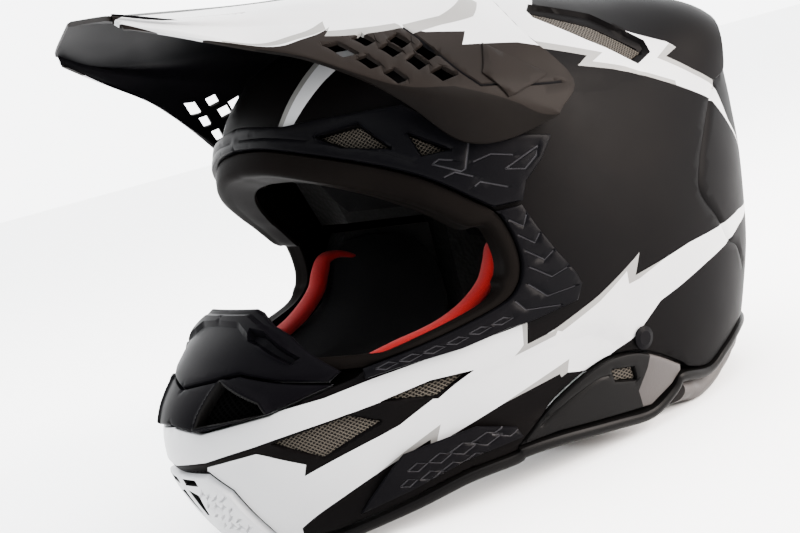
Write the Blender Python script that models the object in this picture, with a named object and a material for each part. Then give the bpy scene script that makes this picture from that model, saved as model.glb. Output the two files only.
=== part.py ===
"""An off-road motorcycle helmet: shell, peak visor, eyeport frames, vents, liners and chin strap.

The helmet is drawn in millimetres in the wearer's frame: +X is the wearer's left, -Y is ahead and
+Z is up. Most pieces are plates that lie on, in or under one skin, the outer face of the shell.
A place on the skin is a chart point (around, up). The finished helmet is pitched back until the
chin and the neck roll stand on z = 0, and is written in metres.
"""

from math import cos, pi, radians, sin

import bmesh
import bpy
import numpy as np
from mathutils import Vector
from mathutils.geometry import delaunay_2d_cdt

# Overall sizes of the shell's outer face.
SHELL_WIDTH = 249.0
SHELL_LENGTH = 377.0
CROWN_HEIGHT = 298.0

# Walls, depths and clearances.
SHELL_WALL = 4.0
FRAME_DEPTH = 3.4
NOSE_DEPTH = 3.2
MESH_WALL = 1.2
MESH_SINK = 2.2
FLAT_MESH_SINK = 1.7
EDGE_GAP = 0.5
LAYER_GAP = 0.7
CROWN_FOAM = 27.0
SIDE_FOAM = 15.0
CROWN_PAD_DEPTH = 10.0
CHEEK_PAD_DEPTH = 23.0
VISOR_WALL = 2.6
TRIM_HEIGHT = 6.0
STRAP_WIDTH = 22.0
STRAP_THICKNESS = 2.4
RING_WIRE = 3.0
RIVET_RADIUS = 6.5
SCREW_RADIUS = 8.0

# Resting pose.
REST_PITCH = radians(10.06)
REST_DROP = 30.0
REST_SHIFT = -4.4

# Joint axes, as (ahead-behind, height) in the wearer's frame.
VISOR_PIVOT = (-38.0, 228.0)
STRAP_PIVOT = (20.0, 89.0)

# Distance between points of the triangle nets.
NET = 17.0
FINE_NET = 11.0
SOFT_NET = 24.0
CHART_RADIUS = 125.0

# Horizontal sections of the skin: height, front, rear, half width, widest place,
# roundness of the front and of the rear (2 is an ellipse, more is boxier).
SECTIONS = np.array(
    (
        (-10, -158, 112, 88, 10, 2.2, 2.4),
        (10, -178, 132, 99, 10, 2.1, 2.4),
        (32, -194, 146, 108, 12, 2.05, 2.4),
        (56, -204, 158, 114, 14, 2.0, 2.5),
        (80, -201, 166, 119, 14, 2.05, 2.6),
        (105, -182, 170, 121.5, 16, 2.2, 2.7),
        (130, -160, 172, 123.5, 18, 2.3, 2.8),
        (160, -153, 173, 124.5, 20, 2.25, 2.8),
        (190, -148, 171, 123.5, 22, 2.3, 2.9),
        (215, -145.5, 165, 121, 24, 2.3, 3.1),
        (239, -137, 158, 114, 26, 2.3, 3.7),
        (259, -121, 152, 102, 28, 2.2, 5.0),
        (275, -94, 142, 87, 28, 2.1, 5.0),
        (288, -55, 118, 63, 24, 2.0, 3.6),
        (296, -14, 62, 30, 16, 2.0, 2.2),
        (298, 8, 8, 0, 8, 2.0, 2.0),
    )
)
DRAWN_SIZE = np.array((249.0, 377.0, 298.0))
FIT = np.array((SHELL_WIDTH, SHELL_LENGTH, CROWN_HEIGHT)) / DRAWN_SIZE

# Outlines of one half of the helmet, as (ahead-behind, height) seen from the side, or with a
# leading "front" as (sideways, height), or with a leading "top" as (sideways, ahead-behind).
EYEPORT = (
    ("front", 0, 214), ("front", 27, 212), ("front", 54, 206), ("front", 78, 198),
    (-103, 191), (-90, 184), (-75, 174), (-64, 166), (-58, 155), (-55, 144), (-55, 135), (-58, 127),
    (-66, 120), (-89, 111), (-114, 103), ("front", 86, 97),
)  # fmt: skip
EYEPORT_SILL = (("front", 60, 99), ("front", 30, 102), ("front", 0, 103))
NOSE_SEAT = (("front", 78, 90), ("front", 58, 79), ("front", 26, 71.5), ("front", 0, 74))
BROW_TOP = (
    ("front", 0, 226), ("front", 12, 225), ("front", 42, 221), ("front", 73, 222), (-97, 223),
    (-90, 217), (-75, 206), (-50, 203), (-29, 201), (-37, 189), (-47, 179), (-50, 169.5), (-65, 168),
)  # fmt: skip
SIDE_FRAME_REAR = (
    (-64.5, 165.5), (-51, 167.5), (-44, 155), (-35, 142), (-25, 130), (-22, 124), (-25, 116),
    (-53, 109), (-66, 107), (-90, 100.5), (-117, 96), (-135, 92),
)  # fmt: skip
MOUTH = (("front", 0, 49), ("front", 24, 50), ("front", 33, 40), ("front", 36, 14), ("front", 38, 8))
MOUTH_FOOT = ("front", 0, 6)
SLOT_COUNT = 4
SLOT_START = 13.0
SLOT_STEP = 8.0
SLOT_SLANT = 2.0
SLOT_REACH = (9, 27)
LOWER_LIP = ((-145, 15), (-115, 27), (-88, 37), (-62, 42))
PAINT_HEM = ((-58, 46), (-36, 66), (-10, 80), (12, 83), (30, 79), (52, 70))
REAR_HEM = ((60, 66), (80, 64), (99, 73), (125, 84), ("rear", 60, 88), ("rear", 0, 88))
TRIM_LIP = ((-58, 44.5), (-35, 47), (0, 48), (29, 49), (45, 58), (52, 65))
CHIN_VENT_FRONT = ((-175, 64.5), (-144, 74), (-131, 69), (-155, 55))
CHIN_VENT_REAR = ((-128, 80), (-106, 85), (-88, 87.5), (-103, 78.5))
NECK_VENT = ((-2, 75), (14, 74), (17, 66), (1, 68))
BROW_VENT_INNER = (("front", 61, 213), ("front", 77, 215.5), ("front", 88, 203), ("front", 72, 207))
BROW_VENT_OUTER = ((-97, 208), (-83, 199), (-93, 198))
TOP_VENT = (("top", 82, -8), ("top", 90, 6), ("top", 105, 50), ("top", 98, 56), ("top", 80, 4))
REAR_VENT = (("rear", 28, 224), ("rear", 62, 220), ("rear", 58, 206), ("rear", 30, 209))
NOSE_TOP = (
    ("front", 0, 129), ("front", 28, 129), ("front", 42, 122), ("front", 56, 116), ("front", 80, 97),
    ("front", 77, 92.5),
)  # fmt: skip
NOSE_SEAM = (("front", 60, 95), ("front", 40, 99), ("front", 24, 96), ("front", 0, 92))
INTAKE = (("front", 36, 93), ("front", 53, 84), ("front", 56, 79.5), ("front", 28, 74.5))
LOWER_PANEL = ((-138, 24), (-120, 52), (-84, 60), (-62, 56), (-58, 50), (-88, 43.5), (-115, 33))
CROWN_FOAM_EDGE = (
    ("front", 0, 236), ("front", 60, 230), (-84, 210), (-58, 200), (-38, 170), (50, 170), (56, 120),
    (62, 84), (99, 86), (130, 98), ("rear", 0, 102),
)  # fmt: skip
SIDE_FOAM_EDGE = (
    (-160, 66), (-120, 90), (-88, 98), (-62, 107), (-46, 118), (-43, 144), (-30, 164), (44, 164),
    (50, 120), (50, 106), (-20, 106), (-50, 72), (-70, 56), (-120, 38), (-160, 32),
)  # fmt: skip
CHEEK_PAD_EDGE = (
    (-128, 95), (-103, 101), (-72, 108), (-55, 116), (-47, 127), (-45, 139), (-46, 150), (-20, 160),
    (25, 154), (44, 122), (42, 84), (20, 70), (-30, 66), (-80, 58), (-128, 66),
)  # fmt: skip
CHEEK_TRIM_ROUTE = (
    (-128, 96), (-103, 101), (-72, 108), (-55, 116), (-47, 127), (-45, 139), (-46, 150),
)  # fmt: skip
CHEEK_SLIDE_START = (80.0, 0.0, 105.0)
CROWN_PAD_EDGE = (
    ("front", 0, 228), ("front", 60, 220), (-70, 200), (-40, 178), (50, 178), (70, 150),
    (120, 140), ("rear", 0, 140),
)  # fmt: skip

# The visor's rails, front to rear, as (sideways, ahead-behind, height), from its middle outwards.
VISOR_RAILS = (
    ((0, -231, 285), (0, -207, 288), (0, -177, 290.5), (0, -147, 293), (0, -120, 296), (0, -95, 300),
     (0, -70, 304), (0, -45, 306), (0, -20, 307)),
    ((42, -226, 279), (52, -203, 275), (58, -172, 276), (62, -145, 279), (65, -120, 282),
     (69, -96, 284), (72, -72, 286), (70, -48, 290), (62, -25, 293)),
    ((46, -224, 276.5), (57, -201, 271.5), (67, -170, 268), (77, -146, 267), (84, -122, 266),
     (90, -100, 264), (95, -77, 263), (103, -50, 260), (110, -29, 256)),
    ((48, -223, 275), (60, -200, 269), (72, -169, 263), (84, -146, 259), (95, -125, 252),
     (103, -104, 247), (110, -82, 242), (118, -52, 237), (124.5, -12, 229)),
    ((50, -222, 273), (63, -199, 267), (76, -168, 258), (90, -147, 250), (101, -127, 240),
     (111, -107, 230), (117.5, -88, 225), (124, -56, 221), (128.5, -26, 213)),
    ((50.5, -221, 271), (64, -198, 264.5), (77.5, -167, 255.5), (91.5, -146, 247.5),
     (102, -126, 236), (109.5, -106, 221), (115, -82, 202), (121, -58, 200), (127.5, -27, 210)),
)  # fmt: skip
VISOR_STRIDE = 26.0
VISOR_NET = 15.0
# The visor's diamond holes: each row's first centre on the visor's chart and its count.
HOLE_ROWS = ((78.0, 95.0, 3), (70.0, 110.0, 4), (69.0, 131.0, 2))
HOLE_STEP = (3.8, 14.0)
FIRST_HOLE_HALF = (4.6, 9.5)
HOLE_HALF = (3.5, 7.0)
# The pivot cover's outline on the visor's chart, as (across, along).
CAP_EDGE = ((68, 176), (80, 172), (90, 182), (88, 186), (76, 198))
CAP_WALL = 1.4
BOSS_RADIUS = 7.0

# The neck roll's outline as (below the hem, out of the skin).
ROLL_PROFILE = (
    (-6, -10.5), (4, -10.5), (9.5, -4), (14, -0.5), (20, -3), (25, -11), (26.5, -20), (22, -29),
    (8, -33), (-6, -31),
)  # fmt: skip

# The strap's route from the left rivet to the middle, in the wearer's frame.
STRAP_ROUTE = (
    (113.0, 20, 89), (112, 17, 76), (108, 12, 62), (99, 5, 51), (84, -2, 45), (60, -8, 42),
    (30, -11, 41), (0, -12, 41),
)  # fmt: skip
RING_PLACES = (62.0, 54.0)

COLOURS = {
    "painted_shell": ((0.012, 0.012, 0.013), 0.45, 0.0),
    "black_plastic": ((0.010, 0.010, 0.011), 0.5, 0.0),
    "white_plastic": ((0.72, 0.73, 0.75), 0.4, 0.0),
    "rubber": ((0.030, 0.026, 0.025), 0.75, 0.0),
    "metal_mesh": ((0.12, 0.105, 0.09), 0.5, 0.6),
    "foam": ((0.03, 0.03, 0.032), 0.9, 0.0),
    "dark_fabric": ((0.018, 0.018, 0.020), 0.95, 0.0),
    "red_fabric": ((0.62, 0.0, 0.012), 0.9, 0.0),
    "neck_cover": ((0.06, 0.055, 0.055), 0.7, 0.0),
    "steel": ((0.55, 0.55, 0.56), 0.3, 1.0),
    "webbing": ((0.015, 0.015, 0.016), 0.9, 0.0),
}


# ---------------------------------------------------------------- the skin


def tangents_of(table, knots):
    """Slopes of a smooth curve through the table's rows; the crown ends level."""
    slopes = np.gradient(table, knots, axis=0, edge_order=1)
    slopes[-1, 0] = 0.0
    return slopes


KNOTS = np.concatenate(([0.0], np.cumsum(np.hypot(np.diff(SECTIONS[:, 3]), np.diff(SECTIONS[:, 0])))))
SLOPES = tangents_of(SECTIONS, KNOTS)
POLE = KNOTS[-1]


def section(up):
    """The section at a chart height, as columns in the order of SECTIONS."""
    up = np.clip(np.asarray(up, float), 0.0, POLE)
    row = np.clip(np.searchsorted(KNOTS, up) - 1, 0, len(KNOTS) - 2)
    span = (KNOTS[row + 1] - KNOTS[row])[..., None]
    part = (up - KNOTS[row])[..., None] / span
    start = (1 + 2 * part) * (1 - part) ** 2 * SECTIONS[row]
    end = part**2 * (3 - 2 * part) * SECTIONS[row + 1]
    lean = part * (1 - part) ** 2 * SLOPES[row] + part**2 * (part - 1) * SLOPES[row + 1]
    return np.moveaxis(start + end + span * lean, -1, 0)


def skin(chart):
    """Points of the skin at (around, up) chart places."""
    angle = chart[..., 0] / CHART_RADIUS
    height, front, rear, half, widest, blunt_front, blunt_rear = section(chart[..., 1])
    ahead = np.sin(angle) < 0
    power = np.where(ahead, blunt_front, blunt_rear)
    depth = np.where(ahead, widest - front, rear - widest)
    reach = (np.abs(np.cos(angle)) ** power + np.abs(np.sin(angle)) ** power) ** (-1 / power)
    points = (half * np.cos(angle) * reach, widest + depth * np.sin(angle) * reach, height)
    return np.stack(points, -1) * FIT


def normals(chart, surface=skin, step=0.5):
    """Unit normals of a chart's surface, pointing out."""
    along = np.array((step, 0.0))
    across = np.array((0.0, step))
    around = surface(chart + along) - surface(chart - along)
    rise = surface(chart + across) - surface(chart - across)
    found = np.cross(around, rise)
    found /= np.maximum(np.linalg.norm(found, axis=-1, keepdims=True), 1e-9)
    if surface is skin:
        found[chart[..., 1] > POLE - 2] = (0.0, 0.0, 1.0)
    return found


HEIGHT_TABLE = np.linspace(0.0, POLE, 1500)
HEIGHTS = section(HEIGHT_TABLE)[0]


def chart_of(place):
    """The chart point of one outline point."""
    kind, first, second = place if len(place) == 3 else ("side", *place)
    if kind == "top":
        return chart_from_top(first, second)
    up = float(np.interp(second, HEIGHTS, HEIGHT_TABLE))
    _, front, rear, half, widest, blunt_front, blunt_rear = section(up)
    if kind == "side":
        ahead = first < widest
    else:
        ahead = kind == "front"
    power = blunt_front if ahead else blunt_rear
    if kind == "side":
        lengthwise = min(abs(first - widest) / (widest - front if ahead else rear - widest), 1.0)
        sideways = (1 - lengthwise**power) ** (1 / power)
    else:
        sideways = min(first / half, 1.0)
        lengthwise = (1 - sideways**power) ** (1 / power)
    angle = np.arctan2(-lengthwise if ahead else lengthwise, sideways)
    return (float(angle) * CHART_RADIUS, up)


def chart_from_top(sideways, lengthwise):
    """The chart point of a point seen from above, found by halving the height range."""
    low, high = 0.6 * POLE, POLE
    for _ in range(40):
        middle = (low + high) / 2
        _, front, rear, half, widest, blunt_front, blunt_rear = section(middle)
        ahead = lengthwise < widest
        power = blunt_front if ahead else blunt_rear
        depth = widest - front if ahead else rear - widest
        reach = (sideways / half) ** power + (abs(lengthwise - widest) / depth) ** power
        if reach > 1:
            high = middle
        else:
            low = middle
    angle = np.arctan2((lengthwise - widest) / depth, sideways / half)
    return (float(angle) * CHART_RADIUS, low)


def outline(*places):
    return np.array([chart_of(place) for place in places])


FRONT_EDGE = -pi / 2 * CHART_RADIUS
REAR_EDGE = pi / 2 * CHART_RADIUS


# ---------------------------------------------------------------- nets of triangles


def divided(loop, spacing):
    """The closed loop with its long sides split."""
    points = []
    for start, end in zip(loop, np.roll(loop, -1, axis=0)):
        count = max(1, round(float(np.linalg.norm(end - start)) / spacing))
        points += [start + (end - start) * k / count for k in range(count)]
    return np.array(points)


def smoothed(points, steps, closed=False):
    """A smooth curve through the points, with this many steps from one to the next."""
    points = np.asarray(points, float)
    if closed:
        padded = np.concatenate((points[-1:], points, points[:2]))
    else:
        padded = np.concatenate((2 * points[:1] - points[1:2], points, 2 * points[-1:] - points[-2:-1]))
    found = []
    for a, b, c, d in zip(padded, padded[1:], padded[2:], padded[3:]):
        for k in range(steps):
            t = k / steps
            pull = (c - a) * t + (2 * a - 5 * b + 4 * c - d) * t**2 + (3 * b - a - 3 * c + d) * t**3
            found.append(b + pull / 2)
    if not closed:
        found.append(points[-1])
    return np.array(found)


def inside(points, loop):
    """Which points lie in the closed loop."""
    found = np.zeros(len(points), bool)
    for (x0, y0), (x1, y1) in zip(loop, np.roll(loop, -1, axis=0)):
        if y0 == y1:
            continue
        crosses = (points[:, 1] < y0) != (points[:, 1] < y1)
        found ^= crosses & (points[:, 0] < x0 + (points[:, 1] - y0) * (x1 - x0) / (y1 - y0))
    return found


def distance_to(points, loop):
    """Each point's distance to the closed loop."""
    best = np.full(len(points), 1e9)
    for start, end in zip(loop, np.roll(loop, -1, axis=0)):
        side = end - start
        length = max(float(side @ side), 1e-12)
        share = np.clip((points - start) @ side / length, 0, 1)
        best = np.minimum(best, np.linalg.norm(points - start - share[:, None] * side, axis=1))
    return best


def net(edge, holes=(), spacing=NET):
    """Chart points and triangles that fill the edge loop around its holes."""
    loops = [divided(np.asarray(loop), spacing) for loop in (edge, *holes)]
    low, high = loops[0].min(0), loops[0].max(0)
    rows = np.arange(low[1], high[1], spacing * 0.87)
    grid = [
        (x, y)
        for i, y in enumerate(rows)
        for x in np.arange(low[0] + spacing / 2 * (i % 2), high[0], spacing)
    ]
    grid = np.array(grid) if grid else np.zeros((0, 2))
    keep = inside(grid, loops[0])
    for hole in loops[1:]:
        keep &= ~inside(grid, hole)
    for loop in loops:
        keep &= distance_to(grid, loop) > spacing * 0.55
    points, sides = list(grid[keep]), []
    for loop in loops:
        first = len(points)
        points += list(loop)
        sides += [(first + k, first + (k + 1) % len(loop)) for k in range(len(loop))]
    filled = delaunay_2d_cdt([Vector(p) for p in points], sides, [], 0, 1e-5, False)
    places = np.array([tuple(p) for p in filled[0]])
    triangles = np.array([tuple(t) for t in filled[2]])
    middles = places[triangles].mean(1)
    keep = inside(middles, loops[0])
    for hole in loops[1:]:
        keep &= ~inside(middles, hole)
    return places, triangles[keep]


def plate(edge, outer, inner, holes=(), spacing=NET, halves=False, surface=skin):
    """A closed plate between two heights over a surface. With halves, its mirror image joins it."""
    chart, triangles = net(edge, holes, spacing)
    base, out = surface(chart), normals(chart, surface)
    count = len(chart)
    points = np.concatenate((base + out * outer, base + out * inner))
    faces = [tuple(t) for t in triangles] + [tuple(t[::-1] + count) for t in triangles]
    middle = np.abs(base[:, 0]) < 0.01
    if halves:
        points[np.concatenate((middle, middle)), 0] = 0.0
    directed = {}
    for a, b, c in triangles:
        for side in ((a, b), (b, c), (c, a)):
            directed[side] = True
    for a, b in directed:
        if (b, a) in directed or (halves and middle[a] and middle[b]):
            continue
        faces.append((a, a + count, b + count, b))
    return both_halves(points, faces) if halves else (points, faces)


def mirrored(points, faces):
    return points * (-1, 1, 1), [face[::-1] for face in faces]


def both_halves(points, faces):
    other, turned = mirrored(points, faces)
    shift = len(points)
    return np.concatenate((points, other)), list(faces) + [tuple(i + shift for i in f) for f in turned]


# ---------------------------------------------------------------- sweeps, discs and blocks


def sweep(route, out, profile, closed=True):
    """A profile of (sideways, out) points carried along a route with given out directions."""
    ahead = np.roll(route, -1, 0) - np.roll(route, 1, 0)
    if not closed:
        ahead[0], ahead[-1] = route[1] - route[0], route[-1] - route[-2]
    ahead /= np.linalg.norm(ahead, axis=1, keepdims=True)
    side = np.cross(ahead, out)
    side /= np.linalg.norm(side, axis=1, keepdims=True)
    up = np.cross(side, ahead)
    shape = np.asarray(profile, float)
    points = route[:, None] + side[:, None] * shape[:, :1] + up[:, None] * shape[:, 1:]
    count, width = len(route), len(shape)
    faces = []
    for i in range(count if closed else count - 1):
        for k in range(width):
            here, there = i * width, (i + 1) % count * width
            after = (k + 1) % width
            faces.append((here + k, here + after, there + after, there + k))
    if not closed:
        faces.append(tuple(range(width))[::-1])
        faces.append(tuple((count - 1) * width + k for k in range(width)))
    return points.reshape(-1, 3), faces


def oval(half_width, half_height, count=8, squareness=2.0):
    """A closed round profile, from an ellipse to a soft rectangle."""
    found = []
    for k in range(count):
        angle = 2 * pi * (k + 0.5) / count
        reach = (abs(cos(angle)) ** squareness + abs(sin(angle)) ** squareness) ** (-1 / squareness)
        found.append((half_width * cos(angle) * reach, half_height * sin(angle) * reach))
    return found


def disc(centre, out, radii, count=20):
    """A round piece with an axis: radii lists (distance along out, radius) from back to front."""
    out = np.asarray(out, float) / np.linalg.norm(out)
    side = np.cross(out, (0.0, 1.0, 0.0))
    side /= np.linalg.norm(side)
    up = np.cross(side, out)
    turns = [2 * pi * k / count for k in range(count)]
    ring = np.array([side * cos(a) - up * sin(a) for a in turns])
    points = np.concatenate([np.asarray(centre) + out * height + ring * radius for height, radius in radii])
    faces = []
    for level in range(len(radii) - 1):
        low, high = level * count, (level + 1) * count
        faces += [(low + k, low + (k + 1) % count, high + (k + 1) % count, high + k) for k in range(count)]
    faces.append(tuple(range(count))[::-1])
    faces.append(tuple((len(radii) - 1) * count + k for k in range(count)))
    return points, faces


# ---------------------------------------------------------------- objects


def clear_scene():
    for obj in list(bpy.data.objects):
        bpy.data.objects.remove(obj, do_unlink=True)


def material(name):
    found = bpy.data.materials.get(name)
    if found:
        return found
    colour, roughness, metallic = COLOURS[name]
    found = bpy.data.materials.new(name)
    found.use_nodes = True
    shader = found.node_tree.nodes["Principled BSDF"]
    shader.inputs["Base Color"].default_value = (*colour, 1.0)
    shader.inputs["Roughness"].default_value = roughness
    shader.inputs["Metallic"].default_value = metallic
    return found


def standing(points):
    """Metres in the standing frame, from millimetres in the wearer's frame."""
    points = np.asarray(points, float)
    x, y, z = points[..., 0], points[..., 1], points[..., 2]
    back = y * cos(REST_PITCH) + z * sin(REST_PITCH) + REST_SHIFT
    up = -y * sin(REST_PITCH) + z * cos(REST_PITCH) - REST_DROP
    return np.stack((x, back, up), -1) / 1000


def node(name, solid, finish, axis_point=(0.0, 0.0, 0.0), flat_foot=False):
    """One named object, with its origin at the given point of the wearer's frame."""
    points, faces = solid
    origin = standing(axis_point) if any(axis_point) else np.zeros(3)
    mesh = bpy.data.meshes.new(name)
    mesh.from_pydata((standing(points) - origin).tolist(), [], [list(map(int, f)) for f in faces])
    net_mesh = bmesh.new()
    net_mesh.from_mesh(mesh)
    bmesh.ops.remove_doubles(net_mesh, verts=net_mesh.verts, dist=2e-6)
    bmesh.ops.dissolve_degenerate(net_mesh, edges=net_mesh.edges, dist=1e-6)
    if flat_foot:
        cut_foot(net_mesh)
    bmesh.ops.recalc_face_normals(net_mesh, faces=net_mesh.faces)
    net_mesh.to_mesh(mesh)
    net_mesh.free()
    mesh.shade_smooth()
    mesh.set_sharp_from_angle(angle=radians(40))
    mesh.materials.append(material(finish))
    obj = bpy.data.objects.new(name, mesh)
    obj.location = origin
    bpy.context.scene.collection.objects.link(obj)
    return obj


def cut_foot(net_mesh):
    """Cuts away what lies under z = 0 and closes the cut with flat faces."""
    everything = list(net_mesh.verts) + list(net_mesh.edges) + list(net_mesh.faces)
    bmesh.ops.bisect_plane(net_mesh, geom=everything, plane_co=(0, 0, 0), plane_no=(0, 0, -1), clear_outer=True)
    rims = [edge for edge in net_mesh.edges if edge.is_boundary]
    bmesh.ops.triangle_fill(net_mesh, use_beauty=True, edges=rims)


def pair(name, solid, finish, axis_point=(0.0, 0.0, 0.0)):
    """The left piece and its mirror image."""
    node(name + "_left", solid, finish, axis_point)
    other_point = (-axis_point[0], axis_point[1], axis_point[2])
    node(name + "_right", mirrored(*solid), finish, other_point)


def grown(loop, distance):
    """The closed chart loop moved outwards, or inwards where distance is negative."""
    before, after = np.roll(loop, 1, 0), np.roll(loop, -1, 0)
    first = (loop - before) / np.linalg.norm(loop - before, axis=1, keepdims=True)
    second = (after - loop) / np.linalg.norm(after - loop, axis=1, keepdims=True)
    turn = float(np.sum(loop[:, 0] * after[:, 1] - loop[:, 1] * after[:, 0]))
    side = 1 if turn > 0 else -1
    across_first = np.stack((first[:, 1], -first[:, 0]), 1) * side
    across_second = np.stack((second[:, 1], -second[:, 0]), 1) * side
    joined = across_first + across_second
    scale = 2 / np.maximum((joined**2).sum(1), 1.0)
    return loop + joined * scale[:, None] * distance


# ---------------------------------------------------------------- shell and outer pieces


def eyeport_half():
    return smoothed(outline(*EYEPORT), 2)


def shell_edge():
    """The half shell's boundary: down the front, along the hem and up over the crown."""
    nose = outline(*NOSE_SEAT)[::-1]
    mouth = outline(*MOUTH)
    hem = smoothed(outline(*LOWER_LIP, *PAINT_HEM, *REAR_HEM), 2)
    stripe = np.concatenate((mouth, hem, [(REAR_EDGE, POLE)], [(FRONT_EDGE, POLE)]))
    corner = outline(("front", 84, 93))
    edge = np.concatenate((stripe, eyeport_half()[:-1], corner, nose[::-1]))
    edge[0, 0] = edge[-1, 0] = edge[len(stripe), 0] = FRONT_EDGE
    edge[len(stripe) - 3, 0] = REAR_EDGE
    return edge


def vent_holes():
    return [outline(*hole) for hole in (CHIN_VENT_FRONT, CHIN_VENT_REAR, TOP_VENT, REAR_VENT)]


def brow_vents():
    return [outline(*hole) for hole in (BROW_VENT_INNER, BROW_VENT_OUTER)]


def make_shell():
    edge = shell_edge()
    holes = [grown(hole, EDGE_GAP) for hole in vent_holes() + brow_vents()]
    node("outer_shell", plate(edge, 0, -SHELL_WALL, holes, NET, halves=True), "painted_shell")


def flat_mesh(hole):
    """A flat plate that fills a small hole of the shell, just under its outer face."""
    loop = grown(hole, -EDGE_GAP / 2)
    corners = skin(loop)
    out = normals(loop).mean(0)
    out /= np.linalg.norm(out)
    level = (corners @ out).mean() - FLAT_MESH_SINK
    face = corners - ((corners @ out) - level)[:, None] * out
    count = len(face)
    faces = [tuple(range(count)), tuple(range(2 * count - 1, count - 1, -1))]
    faces += [(k, k + count, (k + 1) % count + count, (k + 1) % count) for k in range(count)]
    return np.concatenate((face, face - out * MESH_WALL)), faces


def make_vent_meshes():
    pair("chin_mesh_front", flat_mesh(outline(*CHIN_VENT_FRONT)), "metal_mesh")
    pair("chin_mesh_rear", flat_mesh(outline(*CHIN_VENT_REAR)), "metal_mesh")
    pair("brow_mesh_inner", flat_mesh(outline(*BROW_VENT_INNER)), "metal_mesh")
    pair("brow_mesh_outer", flat_mesh(outline(*BROW_VENT_OUTER)), "metal_mesh")
    pair("rear_vent_mesh", flat_mesh(outline(*REAR_VENT)), "metal_mesh")
    top = grown(outline(*TOP_VENT), -EDGE_GAP / 2)
    pair("top_vent_mesh", plate(top, -MESH_SINK, -MESH_SINK - MESH_WALL, (), FINE_NET), "metal_mesh")


def make_brow_frame():
    top = outline(*BROW_TOP)
    rim = eyeport_half()
    keep = rim[:, 1] > chart_of((-65, 169))[1]
    edge = np.concatenate((top, rim[keep][::-1]))
    edge[0, 0] = edge[-1, 0] = FRONT_EDGE
    holes = [grown(hole, 1.2) for hole in brow_vents()]
    solid = plate(edge[::-1], LAYER_GAP + FRAME_DEPTH, LAYER_GAP, holes, FINE_NET, halves=True)
    node("brow_frame", solid, "black_plastic")


def make_side_frames():
    rim = eyeport_half()
    rim = rim[rim[:, 1] < chart_of((-64, 164))[1]]
    edge = np.concatenate((outline(*SIDE_FRAME_REAR), rim[::-1]))
    solid = plate(edge[::-1], LAYER_GAP + FRAME_DEPTH, LAYER_GAP, (), FINE_NET)
    pair("side_frame", solid, "black_plastic")


def full_loop(half, edge):
    """The half route joined to its mirror image across the middle plane."""
    half = np.array(half)
    half[0, 0] = half[-1, 0] = edge
    other = half[1:-1][::-1] * (-1, 1) + (2 * edge, 0)
    return np.concatenate((half, other))


def make_gasket():
    """The rubber lip round the eyeport, sunk behind the nose piece at the middle of its sill."""
    half = np.concatenate((eyeport_half(), smoothed(outline(*EYEPORT_SILL), 2)))
    loop = full_loop(half, FRONT_EDGE)
    route, out = skin(loop), normals(loop)
    sideways = np.abs(route[:, 0]) / (SHELL_WIDTH / 2)
    on_sill = route[:, 2] < 0.4 * CROWN_HEIGHT
    sink = np.clip((0.78 - sideways) / 0.12, 0, 1) * on_sill * 9.0
    route = route - out * sink[:, None]
    lip = (
        (0.9, 1.0), (7.0, 1.6), (12.0, 0.4), (14.0, -3.5), (15.0, -21.0), (12.5, -21.5), (10.5, -8.0),
        (-6.0, -8.0), (-6.0, -5.4), (0.9, -5.4),
    )  # fmt: skip
    node("eyeport_gasket", sweep(route, out, lip[::-1]), "rubber")


def make_nose_pieces():
    top = outline(*NOSE_TOP)
    seam = outline(*NOSE_SEAM)
    guard = np.concatenate((top, seam))
    guard[0, 0] = guard[-1, 0] = FRONT_EDGE
    solid = plate(guard[::-1], NOSE_DEPTH, -3.0, (), FINE_NET, halves=True)
    node("nose_guard", solid, "black_plastic")
    seat = outline(*NOSE_SEAT)
    seat[:, 1] += 1.0
    frame = np.concatenate((seam[::-1] - (0, 1.0), seat))
    frame[0, 0] = frame[-1, 0] = FRONT_EDGE
    hole = outline(*INTAKE)
    solid = plate(frame[::-1], 2.0, -4.0, [hole], FINE_NET, halves=True)
    node("intake_frame", solid, "black_plastic")
    solid = plate(grown(hole, -EDGE_GAP), -1.5, -3.5, (), FINE_NET)
    pair("intake_mesh", solid, "metal_mesh")


def make_mouthpiece():
    edge = grown(outline(*MOUTH, MOUTH_FOOT), -1.5 * EDGE_GAP)
    edge[0, 0] = edge[-1, 0] = FRONT_EDGE
    near, far = SLOT_REACH
    slots = []
    for row in range(SLOT_COUNT):
        low = SLOT_START + SLOT_STEP * row
        corners = ((near, low), (far, low - SLOT_SLANT), (far, low + SLOT_SLANT), (near, low + 2 * SLOT_SLANT))
        slots.append(outline(*(("front", *corner) for corner in corners)))
    node("mouth_grille", plate(edge[::-1], 1.5, -3.0, slots, FINE_NET, halves=True), "white_plastic")
    node("mouth_filter", plate(edge[::-1], -4.0, -12.0, (), FINE_NET, halves=True), "foam")


def make_lower_panels():
    solid = plate(outline(*LOWER_PANEL)[::-1], LAYER_GAP + 1.6, LAYER_GAP, (), FINE_NET)
    pair("lower_panel", solid, "black_plastic")


def make_side_trims():
    upper = smoothed(outline(*PAINT_HEM), 2) - (0, 1.4)
    lower = outline(*TRIM_LIP[1:]) + (0, 1.0)
    edge = np.concatenate((upper, lower[::-1]))
    vent = outline(*NECK_VENT)
    solid = plate(edge[::-1], 0, -SHELL_WALL, [vent], FINE_NET)
    pair("side_trim", solid, "rubber")
    solid = plate(grown(vent, -EDGE_GAP), -MESH_SINK, -MESH_SINK - MESH_WALL, (), FINE_NET)
    pair("neck_vent_mesh", solid, "metal_mesh")


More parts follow.
